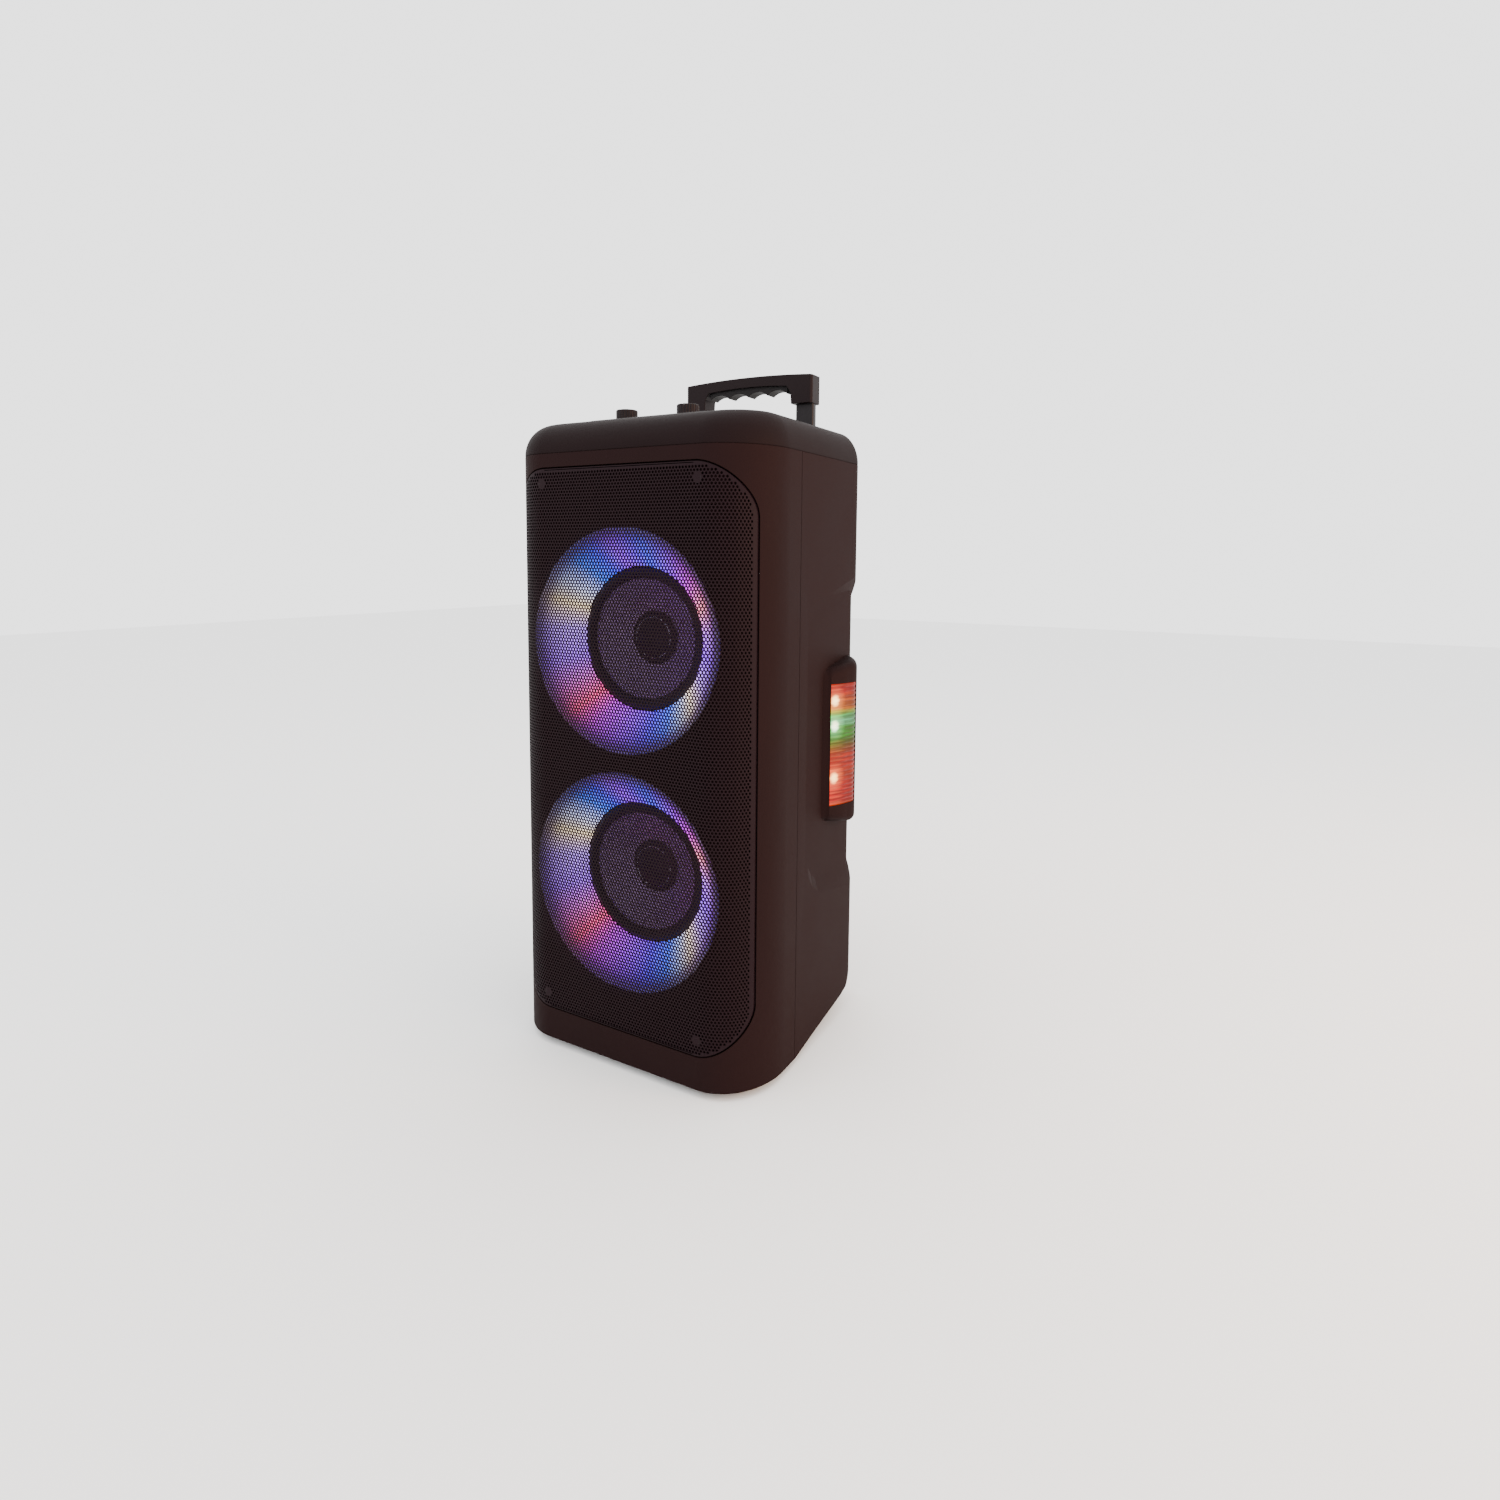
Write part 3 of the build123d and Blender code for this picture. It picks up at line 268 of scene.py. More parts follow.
def ring_glow(name, centre_z):
    """Milky diffuser, lit from behind by colour-changing LEDs whose hue runs round the ring."""
    look = Look(name)
    across, up, radius = look.polar(centre_z)
    turn = look.math("ARCTAN2", across, up)
    share = look.math("MULTIPLY_ADD", turn, 1 / (2 * pi), 1.0)
    share = look.math("FRACT", share)
    hues = [
        (0.000, (0.12, 0.00, 1.00)),
        (0.030, (0.01, 0.05, 1.00)),
        (0.085, (0.22, 0.00, 0.90)),
        (0.138, (0.62, 0.01, 0.75)),
        (0.185, (1.00, 0.26, 0.34)),
        (0.231, (0.50, 0.16, 1.00)),
        (0.275, (0.26, 0.05, 1.00)),
        (0.320, (0.46, 0.24, 1.00)),
        (0.360, (1.00, 0.80, 0.60)),
        (0.392, (0.36, 0.50, 1.00)),
        (0.420, (0.01, 0.12, 1.00)),
        (0.465, (0.06, 0.00, 1.00)),
        (0.520, (0.30, 0.00, 1.00)),
        (0.572, (0.56, 0.00, 0.85)),
        (0.616, (1.00, 0.06, 0.22)),
        (0.660, (0.66, 0.10, 0.66)),
        (0.705, (0.34, 0.10, 1.00)),
        (0.765, (0.44, 0.24, 1.00)),
        (0.815, (1.00, 0.80, 0.46)),
        (0.847, (0.60, 0.66, 1.00)),
        (0.893, (0.00, 0.16, 1.00)),
        (0.930, (0.01, 0.03, 1.00)),
        (0.968, (0.26, 0.00, 1.00)),
        (1.000, (0.12, 0.00, 1.00)),
    ]
    hue = look.ramp(share, hues)
    span = RING_R - RING_INNER_R
    inward = look.math("DIVIDE", look.math("SUBTRACT", RING_R, radius), span)
    level = look.ramp(inward, [(0.0, 0.06), (0.16, 0.16), (0.42, 0.60), (0.8, 1.0), (1.0, 0.85)])
    rim = look.ramp(inward, [(0.0, 1.0), (0.35, 0.0)])
    tinted = look.mix(look.math("MULTIPLY", rim, 0.6), hue, (0.16, 0.05, 0.60, 1))
    cloud = look.noise(34.0, detail=3.0)
    power = look.math("MULTIPLY", level, look.math("MULTIPLY_ADD", cloud, 0.5, 0.75))
    look.set(Emission_Color=tinted, Emission_Strength=look.math("MULTIPLY", power, RING_POWER))
    grain = look.noise(500.0)
    look.set(Base_Color=look.mix(grain, (0.10, 0.09, 0.13, 1), (0.14, 0.13, 0.18, 1)))
    look.set(Roughness=look.math("MULTIPLY_ADD", grain, 0.1, 0.38))
    look.set(Normal=look.bump(grain, 0.02 * MM, 0.5))
    return look.material


def cone_paper(name, centre_z):
    """Pressed, metallised paper with felted fibres and faint concentric pressing rings; its lavender tint
    is painted light from the violet ring on a grey cone.
    """
    look = Look(name)
    radius = look.polar(centre_z)[2]
    rings = look.math("SINE", look.math("MULTIPLY", radius, 2 * pi / (2.2 * MM)))
    fibre = look.noise(420.0, detail=7.0, rough=0.7)
    # Painted light: the grey cone's colour is tinted lavender and lifted to stand in for the violet ring
    # light falling on it.
    look.set(Base_Color=look.mix(fibre, (0.16, 0.095, 0.19, 1), (0.28, 0.18, 0.34, 1)))
    look.set(Roughness=look.math("MULTIPLY_ADD", fibre, 0.2, 0.34), Metallic=0.35)
    soft = look.bump(fibre, 0.08 * MM, 0.7)
    look.set(Normal=look.bump(rings, 0.05 * MM, 0.35, soft))
    return look.material


def lens_glow(name, side):
    """Ribbed clear lens lit in horizontal bands, with hot spots over its three LEDs."""
    look = Look(name)
    split = look.add("ShaderNodeSeparateXYZ", {"Vector": look.place})
    height = look.math("DIVIDE", look.math("SUBTRACT", split.outputs["Z"], LENS_LOW), LENS_HIGH - LENS_LOW)
    depth = look.math("DIVIDE", look.math("SUBTRACT", split.outputs["Y"], POD_FRONT), LENS_REAR - POD_FRONT)
    ripple = look.noise(60.0, detail=3.0, stretch=(1.0, 0.5, 3.0))
    wavy = look.math("MULTIPLY_ADD", ripple, 0.05, look.math("SUBTRACT", height, 0.025))
    bands = [
        (0.000, (1.00, 0.10, 0.02)),
        (0.030, (0.80, 0.004, 0.001)),
        (0.170, (0.90, 0.008, 0.002)),
        (0.260, (1.00, 0.060, 0.002)),
        (0.330, (0.95, 0.020, 0.002)),
        (0.420, (0.75, 0.030, 0.002)),
        (0.470, (0.40, 0.120, 0.004)),
        (0.520, (0.10, 0.260, 0.010)),
        (0.560, (0.01, 0.400, 0.020)),
        (0.640, (0.01, 0.620, 0.050)),
        (0.690, (0.16, 1.000, 0.420)),
        (0.735, (0.06, 0.800, 0.140)),
        (0.775, (0.75, 0.620, 0.010)),
        (0.800, (1.00, 0.240, 0.004)),
        (0.860, (1.00, 0.150, 0.004)),
        (0.930, (0.90, 0.010, 0.002)),
        (0.975, (0.80, 0.004, 0.001)),
        (1.000, (1.00, 0.060, 0.010)),
    ]
    hue = look.ramp(wavy, bands)
    streaks = look.noise(46.0, detail=2.0, stretch=(0.4, 0.5, 9.0))
    streak = look.ramp(streaks, [(0.46, 0.0), (0.66, 1.0)])
    near = look.ramp(depth, [(0.0, 1.0), (0.55, 0.55), (1.0, 0.35)])
    power = look.math("MULTIPLY", near, look.math("MULTIPLY_ADD", streak, 0.9, 0.75))
    spots = None
    for z in SIDE_LED_ZS:
        links = {0: look.place, 1: (side * LED_X, POD_FRONT + LED_DEPTH, z)}
        offset = look.add("ShaderNodeVectorMath", links, operation="SUBTRACT")
        links = {0: offset.outputs[0], 1: (0.5, 1.0, 0.8)}
        scaled = look.add("ShaderNodeVectorMath", links, operation="MULTIPLY")
        away = look.add("ShaderNodeVectorMath", {0: scaled.outputs[0]}, operation="LENGTH").outputs["Value"]
        fade = [(0.0, 1.0), (0.22, 0.8), (0.42, 0.14), (1.0, 0.0)]
        spot = look.ramp(look.math("DIVIDE", away, SPOT_R), fade)
        spots = spot if spots is None else look.math("MAXIMUM", spots, spot)
    tints = [(0.45, (1.0, 0.62, 0.22)), (0.58, (0.62, 1.0, 0.86)), (0.74, (1.0, 0.7, 0.3))]
    look.set(Emission_Color=look.mix(spots, hue, look.ramp(height, tints)))
    total = look.math("MULTIPLY_ADD", spots, SPOT_POWER, look.math("MULTIPLY", power, LENS_POWER))
    look.set(Emission_Strength=total, Base_Color=(0.02, 0.002, 0.001, 1))
    look.set(Roughness=0.22, Specular_IOR_Level=0.12)
    look.set(Normal=look.bump(look.noise(300.0), 0.02 * MM, 0.4))
    return look.material


def glowing(name, colour, strength):
    """A lit bar of a display: pale diffusing resin with its own light."""
    look = Look(name)
    grain = look.noise(2600.0)
    look.set(Base_Color=look.mix(grain, (0.7, 0.66, 0.4, 1), (0.85, 0.8, 0.55, 1)), Roughness=0.3)
    look.set(Emission_Color=(*colour, 1), Emission_Strength=strength)
    return look.material


def board(name):
    """Green solder mask over fine copper tracks, with pale component marks."""
    look = Look(name)
    checker = look.add("ShaderNodeTexBrick", {"Vector": look.place, "Scale": 140.0, "Mortar Size": 0.03})
    checker.inputs["Color1"].default_value = (0.010, 0.10, 0.035, 1)
    checker.inputs["Color2"].default_value = (0.014, 0.14, 0.05, 1)
    checker.inputs["Mortar"].default_value = (0.05, 0.24, 0.09, 1)
    specks = look.ramp(look.noise(420.0), [(0.62, 0.0), (0.64, 1.0)])
    look.set(Base_Color=look.mix(specks, checker.outputs["Color"], (0.45, 0.42, 0.30, 1)), Roughness=0.3)
    look.set(Normal=look.bump(checker.outputs["Fac"], 0.05 * MM, 0.5))
    return look.material


def smoked_glass(name):
    """Smoked window: nearly black, polished, with faint fingerprints."""
    look = Look(name)
    smudge = look.noise(30.0, detail=6.0)
    look.set(Base_Color=look.mix(smudge, (0.004, 0.004, 0.005, 1), (0.007, 0.007, 0.009, 1)))
    look.set(Roughness=look.math("MULTIPLY_ADD", smudge, 0.10, 0.04))
    return look.material


def cloth(name, colour):
    """Woven, resin-dipped cloth."""
    look = Look(name)
    warp = look.add("ShaderNodeTexWave", {"Vector": look.place, "Scale": 420.0}, bands_direction="X")
    weft = look.add("ShaderNodeTexWave", {"Vector": look.place, "Scale": 420.0}, bands_direction="Z")
    weave = look.math("MULTIPLY", warp.outputs["Fac"], weft.outputs["Fac"])
    look.set(Base_Color=look.mix(weave, (*shade(colour, 0.7), 1), (*shade(colour, 1.2), 1)), Roughness=0.85)
    look.set(Normal=look.bump(weave, 0.1 * MM, 0.7))
    return look.material


def printed(name):
    """White pad-printed ink."""
    look = Look(name)
    wear = look.noise(700.0, detail=6.0)
    look.set(Base_Color=look.mix(wear, (0.55, 0.55, 0.54, 1), (0.80, 0.80, 0.78, 1)), Roughness=0.55)
    return look.material


LOOKS = {
    # Shell colour: the plastic's own warm black, made redder partly as painted orange glow from the side
    # lights.
    "shell": moulded("shell_plastic", (0.0100, 0.0046, 0.0046), rough=0.60, specular=0.035),
    "cap": moulded("cap_plastic", (0.0078, 0.0046, 0.0048), rough=0.52, specular=0.03),
    "panel": moulded("panel_plastic", (0.0050, 0.0038, 0.0042), 0.34, 2200.0, 0.03, specular=0.10),
    "grip": moulded("grip_plastic", (0.0055, 0.0040, 0.0045), rough=0.46, specular=0.10),
    "insert": rubbery("grip_insert_rubber", (0.0050, 0.0038, 0.0042)),
    "rubber": rubbery("foot_rubber", (0.010, 0.010, 0.010)),
    "tyre": rubbery("tyre_rubber", (0.012, 0.012, 0.012), rough=0.7),
    "hub": moulded("hub_plastic", (0.050, 0.050, 0.053), rough=0.42),
    "knob": moulded("knob_plastic", (0.0085, 0.0075, 0.0080), 0.40, 2400.0, 0.02, specular=0.12),
    "socket": moulded("socket_plastic", (0.007, 0.007, 0.008), rough=0.3, grain=2400.0, depth=0.02),
    "battery": moulded("battery_plastic", (0.025, 0.025, 0.03), rough=0.45),
    "grille": metal("grille_paint", (0.0090, 0.0036, 0.0050), 0.50, metallic=0.0, specular=0.06),
    "screw": metal("black_screw", (0.010, 0.006, 0.007), 0.42, metallic=0.3, specular=0.10),
    "steel": metal("bright_steel", (0.56, 0.56, 0.57), 0.28, stretch=(1.0, 1.0, 12.0)),
    "tube": metal("dark_tube", (0.011, 0.009, 0.010), 0.36, (14.0, 14.0, 0.6), 0.5, specular=0.2),
    "basket": metal("basket_paint", (0.02, 0.02, 0.021), 0.45, metallic=0.4),
    "magnet": moulded("ferrite", (0.045, 0.045, 0.05), rough=0.6),
    "board": board("circuit_board"),
    "glass": smoked_glass("display_glass"),
    "surround": rubbery("surround_rubber", (0.0085, 0.0065, 0.0090), rough=0.5),
    "dust_cap": moulded("dust_cap_skin", (0.010, 0.007, 0.010), rough=0.42, grain=900.0),
    # Painted highlight: a pale bead on the dark dust cap stands in for its thin ring highlight.
    "bead": metal("pale_bead_painted_highlight", (0.30, 0.27, 0.33), 0.22, metallic=0.6),
    "copper": metal("coil_copper", (0.65, 0.30, 0.14), 0.3, stretch=(1.0, 30.0, 1.0)),
    "spider": cloth("spider_cloth", (0.42, 0.32, 0.12)),
    "ink": printed("white_ink"),
    "lit_bar": glowing("display_bar", (0.35, 0.75, 1.0), 3.0),
}


# ---------------------------------------------------------------- mesh tools


def sharpen(mesh, angle=32):
    """Smooth shading, with creases left sharp above an angle."""
    bm = bmesh.new()
    bm.from_mesh(mesh)
    limit = radians(angle)
    for face in bm.faces:
        face.smooth = True
    for edge in bm.edges:
        edge.smooth = len(edge.link_faces) != 2 or edge.calc_face_angle(0) < limit
    bm.to_mesh(mesh)
    bm.free()


def piece(name, verts, faces, look, body, angle=32, weld=0.0):
    """A new mesh object that rides on a body."""
    mesh = bpy.data.meshes.new(name)
    mesh.from_pydata(verts, [], faces)
    bm = bmesh.new()
    bm.from_mesh(mesh)
    if weld:
        bmesh.ops.remove_doubles(bm, verts=bm.verts, dist=weld)
    bmesh.ops.recalc_face_normals(bm, faces=bm.faces)
    bm.to_mesh(mesh)
    bm.free()
    sharpen(mesh, angle)
    mesh.materials.append(LOOKS[look])
    made = bpy.data.objects.new(name, mesh)
    bpy.context.collection.objects.link(made)
    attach(made, body)
    return made


def soften(made, width):
    """Rounds the sharp edges of an object."""
    bevel = made.modifiers.new("rounding", "BEVEL")
    bevel.width = width
    bevel.segments = 2
    bevel.limit_method = "ANGLE"
    bevel.angle_limit = radians(30)
    bevel.harden_normals = False
    bevel.miter_outer = "MITER_ARC"
    normals = made.modifiers.new("normals", "WEIGHTED_NORMAL")
    normals.keep_sharp = False


def dress(node, look, width):
    """Gives a CAD node its material and, with a width, rounded edges."""
    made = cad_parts[node]
    made.data.materials.clear()
    made.data.materials.append(LOOKS[look])
    if width:
        weld = made.modifiers.new("joined", "WELD")
        weld.merge_threshold = 0.002 * MM
        flat = made.modifiers.new("flat", "DECIMATE")
        flat.decimate_type = "DISSOLVE"
        flat.angle_limit = radians(0.6)
        soften(made, width)


def turned(name, profile, centre, look, body, axis="Y", segments=TURNS, angle=32):
    """Surface turned from (radius, offset) points about the X or Y axis through a centre."""
    verts = []
    for i in range(segments):
        turn = 2 * pi * i / segments
        for radius, offset in profile:
            a, b = radius * cos(turn), radius * sin(turn)
            spot = (offset, a, b) if axis == "X" else (a, offset, b)
            verts.append(tuple(c + s for c, s in zip(centre, spot)))
    count = len(profile)
    faces = []
    for i in range(segments):
        j = (i + 1) % segments
        for k in range(count - 1):
            faces.append((i * count + k, i * count + k + 1, j * count + k + 1, j * count + k))
    return piece(name, verts, faces, look, body, angle, weld=0.001 * MM)


def curve_points(start, control, end, count):
    """Points on a quadratic curve."""
    points = []
    for i in range(count + 1):
        t = i / count
        near, mid, far = (1 - t) ** 2, 2 * t * (1 - t), t * t
        points.append(tuple(near * s + mid * c + far * e for s, c, e in zip(start, control, end)))
    return points


def arc_points(centre, radius, first, last, count):
    """Points on an arc, from one angle to another in degrees."""
    points = []
    for i in range(count + 1):
        turn = radians(first + (last - first) * i / count)
        points.append((centre[0] + radius * cos(turn), centre[1] + radius * sin(turn)))
    return points


def block_mesh(low, high):
    """Vertices and faces of an axis-aligned block."""
    verts = [(x, y, z) for x in (low[0], high[0]) for y in (low[1], high[1]) for z in (low[2], high[2])]
    faces = [(0, 1, 3, 2), (4, 6, 7, 5), (0, 4, 5, 1), (2, 3, 7, 6), (0, 2, 6, 4), (1, 5, 7, 3)]
    return verts, faces


def gather(parts):
    """Several (vertices, faces) as one."""
    verts, faces = [], []
    for some_verts, some_faces in parts:
        start = len(verts)
        verts += some_verts
        faces += [tuple(start + i for i in face) for face in some_faces]
    return verts, faces


# ---------------------------------------------------------------- grille


def front_depth(x):
    """Depth of the cabinet's front surface at x, from the flat front."""
    over = abs(x) - FLAT_HALF_W
    if over <= 0:
        return 0.0
    return CORNER_RY * (1 - sqrt(max(0.0, 1 - (over / CORNER_RX) ** 2)))


def unroll_table():
    """Places (length along the sheet, x) from the middle to the cabinet's side."""
    table = [(0.0, 0.0), (FLAT_HALF_W, FLAT_HALF_W)]
    steps = 240
    before = (FLAT_HALF_W, 0.0)
    for i in range(1, steps + 1):
        turn = pi / 2 * i / steps
        spot = (FLAT_HALF_W + CORNER_RX * sin(turn), CORNER_RY * (1 - cos(turn)))
        table.append((table[-1][0] + hypot(spot[0] - before[0], spot[1] - before[1]), spot[0]))
        before = spot
    return table


UNROLLED = unroll_table()


def sheet_x(length):
    """X of the point that lies this far along the sheet from its middle."""
    size = abs(length)
    for (one, x_one), (two, x_two) in zip(UNROLLED, UNROLLED[1:]):
        if size <= two:
            x = x_one + (x_two - x_one) * (size - one) / (two - one)
            return x if length >= 0 else -x
    return HALF_W if length >= 0 else -HALF_W


def outside_by(x, z, shrink=0.0):
    """How far a point of the elevation lies outside the grille's outline, and the nearest point on it."""
    half_x = GRILLE_HALF_W - shrink
    half_z = (GRILLE_HIGH - GRILLE_LOW) / 2 - shrink
    middle = (GRILLE_HIGH + GRILLE_LOW) / 2
    radius = GRILLE_CORNER_R - shrink
    inner_x, inner_z = half_x - radius, half_z - radius
    core_x = min(max(x, -inner_x), inner_x)
    core_z = min(max(z - middle, -inner_z), inner_z)
    away_x, away_z = x - core_x, z - middle - core_z
    away = hypot(away_x, away_z)
    if away <= radius:
        return away - radius, (x, z)
    scale = radius / away
    return away - radius, (core_x + away_x * scale, middle + core_z + away_z * scale)


def screw_cells():
    """Middles of the cells of the sheet that lie nearest to the four screws."""
    low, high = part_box("grille_screws")
    half_x = high[0] - SCREW_HEAD_R
    spots = []
    for x in (-half_x, half_x):
        for z in (low[2] + SCREW_HEAD_R, high[2] - SCREW_HEAD_R):
            row = round((z - GRILLE_LOW) / ROW_STEP)
            shift = HOLE_PITCH / 2 if row % 2 else 0.0
            near_x = round((x - shift) / HOLE_PITCH) * HOLE_PITCH + shift
            spots.append((near_x, GRILLE_LOW + row * ROW_STEP))
    return spots


def grille_cells(rows):
    """Hexagonal cells of the sheet for some rows; a cell at an edge or a screw has no hole."""
    columns = int(UNROLLED[-1][0] / HOLE_PITCH)
    corner = HOLE_PITCH / sqrt(3)
    screws = screw_cells()
    verts, faces = [], []
    known = {}

    def vertex(length, z, back):
        key = (round(length * 1e6), round(z * 1e6), back)
        if key not in known:
            x, height = outside_by(sheet_x(length), z)[1]
            known[key] = len(verts)
            verts.append((x, FRONT + front_depth(x) + (GRILLE_T if back else 0.0), height))
        return known[key]

    for row in rows:
        z = GRILLE_LOW + row * ROW_STEP
        shift = HOLE_PITCH / 2 if row % 2 else 0.0
        for column in range(-columns, columns + 1):
            length = column * HOLE_PITCH + shift
            ring = [(length + corner * sin(pi * k / 3), z + corner * cos(pi * k / 3)) for k in range(6)]
            if abs(ring[1][0]) > UNROLLED[-1][0] or abs(ring[4][0]) > UNROLLED[-1][0]:
                continue
            if all(outside_by(sheet_x(s), h)[0] > 0 for s, h in ring):
                continue
            outer = [vertex(s, h, False) for s, h in ring]
            x = sheet_x(length)
            solid = outside_by(x, z, GRILLE_BORDER)[0] > -corner * 0.8
            solid = solid or any(hypot(x - sx, z - sz) < SCREW_CLEAR for sx, sz in screws)
            if solid:
                faces.append(tuple(outer))
                continue
            hole = [(length + (s - length) * HOLE_SHARE, z + (h - z) * HOLE_SHARE) for s, h in ring]
            front = [vertex(s, h, False) for s, h in hole]
            back = [vertex(s, h, True) for s, h in hole]
            for k in range(6):
                n = (k + 1) % 6
                faces.append((outer[k], outer[n], front[n], front[k]))
                faces.append((front[k], front[n], back[n], back[k]))
    return verts, faces


def outline_points():
    """Closed outline of the grille in the elevation, as (x, z) points."""
    middle = (GRILLE_HIGH + GRILLE_LOW) / 2
    reach_x = GRILLE_HALF_W - GRILLE_CORNER_R
    reach_z = (GRILLE_HIGH - GRILLE_LOW) / 2 - GRILLE_CORNER_R
    points = []
    for sx, sz, first in ((1, 1, 0), (-1, 1, 90), (-1, -1, 180), (1, -1, 270)):
        centre = (sx * reach_x, middle + sz * reach_z)
        points += arc_points(centre, GRILLE_CORNER_R, first, first + 90, CORNER_STEPS)
    dense = []
    for (x0, z0), (x1, z1) in zip(points, points[1:] + points[:1]):
        steps = max(1, int(hypot(x1 - x0, z1 - z0) / RIM_STEP))
        dense += [(x0 + (x1 - x0) * i / steps, z0 + (z1 - z0) * i / steps) for i in range(steps)]
    return dense


def grille_rim():
    """Rolled edge of the sheet, turned back into the groove."""
    section = [(1.6 * MM, 0.0), (0.9 * MM, 0.0), (0.35 * MM, 0.25 * MM), (0.05 * MM, 0.8 * MM)]
    section += [(0.0, 1.6 * MM), (0.0, 5.6 * MM), (1.0 * MM, 5.6 * MM), (1.0 * MM, 1.8 * MM)]
    path = outline_points()
    count = len(path)
    verts, faces = [], []
    for shrink, back in section:
        for x, z in path:
            near_x, near_z = outside_by(x, z, shrink)[1]
            verts.append((near_x, FRONT + front_depth(near_x) + back, near_z))
    for ring in range(len(section) - 1):
        near, far = ring * count, (ring + 1) * count
        for i in range(count):
            j = (i + 1) % count
            faces.append((near + i, near + j, far + j, far + i))
    return piece("grille_rim", verts, faces, "grille", "cabinet")


def make_grille():
    """Perforated sheet in two halves, so that neither is too heavy, and its rim."""
    rows = int((GRILLE_HIGH - GRILLE_LOW) / ROW_STEP) + 2
    for name, span in (("grille_lower", range(0, rows // 2)), ("grille_upper", range(rows // 2, rows))):
        verts, faces = grille_cells(span)
        made = piece(name, verts, faces, "grille", "cabinet", angle=50)
        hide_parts("grille_panel")
    rim = grille_rim()
    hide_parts("grille_panel")


# ---------------------------------------------------------------- drivers


def make_driver(place):
    """Visible pieces of one driver: light bowl, surround, cone and dust cap."""
    z = DRIVERS[place]
    centre = (0.0, FRONT, z)
    moving = place + "_cone_assembly"
    LOOKS["glow_" + place] = ring_glow(place + "_ring_glow", z)
    LOOKS["cone_" + place] = cone_paper(place + "_cone_paper", z)

    near, far = RING_DEPTH
    bowl = [(RING_R, near + RING_WALL), (RING_R, near + 0.6 * MM), (RING_R - 0.6 * MM, near)]
    control = (RING_R - 17 * MM, near + 13 * MM)
    bowl += curve_points((RING_R - 2.2 * MM, near), control, (RING_INNER_R, far), 20)
    bowl += [(RING_INNER_R, far + RING_WALL), (RING_INNER_R + 2 * MM, far + RING_WALL)]
    ring = turned(place + "_light_bowl", bowl, centre, "glow_" + place, "cabinet", segments=192)
    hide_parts(place + "_ring_diffuser")

    half_roll = arc_points((ROLL_MIDDLE_R, CONE_DEPTH - 0.2 * MM), ROLL_R, 172, 352, 18)
    roll = [(60.6 * MM, CONE_DEPTH), (61.4 * MM, CONE_DEPTH - 0.6 * MM)]
    roll += [(r, CONE_DEPTH - abs(y - CONE_DEPTH)) for r, y in half_roll]
    roll += [(72.4 * MM, CONE_DEPTH - 0.5 * MM), (72.5 * MM, CONE_DEPTH)]
    edge = turned(place + "_roll_surround", roll, centre, "surround", moving, segments=160)
    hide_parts(place + "_surround")

    neck = CONE_DEPTH + (CONE_R - COIL_R) * CONE_SLOPE
    face = [(CONE_R, CONE_DEPTH + 1.2 * MM), (CONE_R, CONE_DEPTH), (60.4 * MM, CONE_DEPTH)]
    face += [(59.8 * MM, CONE_DEPTH + 0.4 * MM)]
    middle = ((59.8 * MM + COIL_R) / 2, (CONE_DEPTH + neck) / 2 + 1.6 * MM)
    face += curve_points((59.4 * MM, CONE_DEPTH + 1.3 * MM), middle, (COIL_R, neck), 24)
    face += [(COIL_R, neck + 1.5 * MM)]
    body = turned(place + "_paper_cone", face, centre, "cone_" + place, moving, segments=160)
    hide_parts(place + "_cone")

    edge_depth = CONE_DEPTH + (CONE_R - DUST_CAP_R) * CONE_SLOPE - 0.1 * MM
    dome_r = (DUST_CAP_R**2 + DUST_CAP_RISE**2) / (2 * DUST_CAP_RISE)
    dome_centre = edge_depth - DUST_CAP_RISE + dome_r
    dome = []
    for i in range(41):
        radius = DUST_CAP_R * i / 40
        dome.append((radius, dome_centre - sqrt(dome_r**2 - radius**2)))
    dome += [(DUST_CAP_R, edge_depth), (DUST_CAP_R - 0.9 * MM, edge_depth)]
    cap = turned(place + "_dome", dome, centre, "dust_cap", moving)
    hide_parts(place + "_dust_cap")
    # The pale bead at BEAD_R is a painted highlight ring on the dark dust cap.
    depth = dome_centre - sqrt(dome_r**2 - BEAD_R**2)
    rod = [(BEAD_R + BEAD_T * cos(2 * pi * k / 8), depth + BEAD_T * sin(2 * pi * k / 8)) for k in range(9)]
    bead = turned(place + "_dome_bead", rod, centre, "bead", moving, segments=96)
    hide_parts(place + "_dust_cap")


# ---------------------------------------------------------------- side lights


def floor_x(y):
    """Half width of the cabinet in the side recess, whose floor turns round the rear corner."""
    over = y - (REAR - RECESS_CORNER_R)
    if over <= 0:
        return POD_FLOOR_X
    return POD_FLOOR_X - RECESS_CORNER_R + sqrt(RECESS_CORNER_R**2 - over**2)


def pod_profile(inset):
    """Plan of the right side light, from its front wall round to its rear, shrunk by an inset."""
    front, rear = POD_FRONT + inset, POD_REAR - inset
    start = (150 * MM - inset, front)
    peak = (POD_X - inset, FRONT + 204 * MM)
    end = (147 * MM - inset, rear)
    crest = (160.3 * MM - inset, FRONT + 193 * MM)
    swell = curve_points(start, (158.5 * MM - inset, FRONT + 184 * MM), crest, 8)
    swell += curve_points(swell[-1], (162.6 * MM - inset, FRONT + 199 * MM), peak, 5)[1:]
    tail = curve_points(peak, (160.0 * MM - inset, FRONT + 219 * MM), end, 12)
    wall = [(floor_x(front) + 0.05 * MM, front - POD_FOOT + 0.2 * MM)]
    wall += [(146 * MM - inset, front - 0.5 * POD_FOOT), (148.8 * MM - inset, front - 0.1 * POD_FOOT)]
    return wall + swell + tail[1:] + [(floor_x(rear) - 0.3 * MM, rear)]


def pod_roof(y, high, drop):
    """Height of the top or bottom edge of the side light at a depth, lowered or raised by the rounding."""
    flare = POD_FLARE * (y - POD_FRONT) / (POD_REAR - POD_FRONT)
    return POD_HIGH + flare - drop if high else POD_LOW - flare + drop


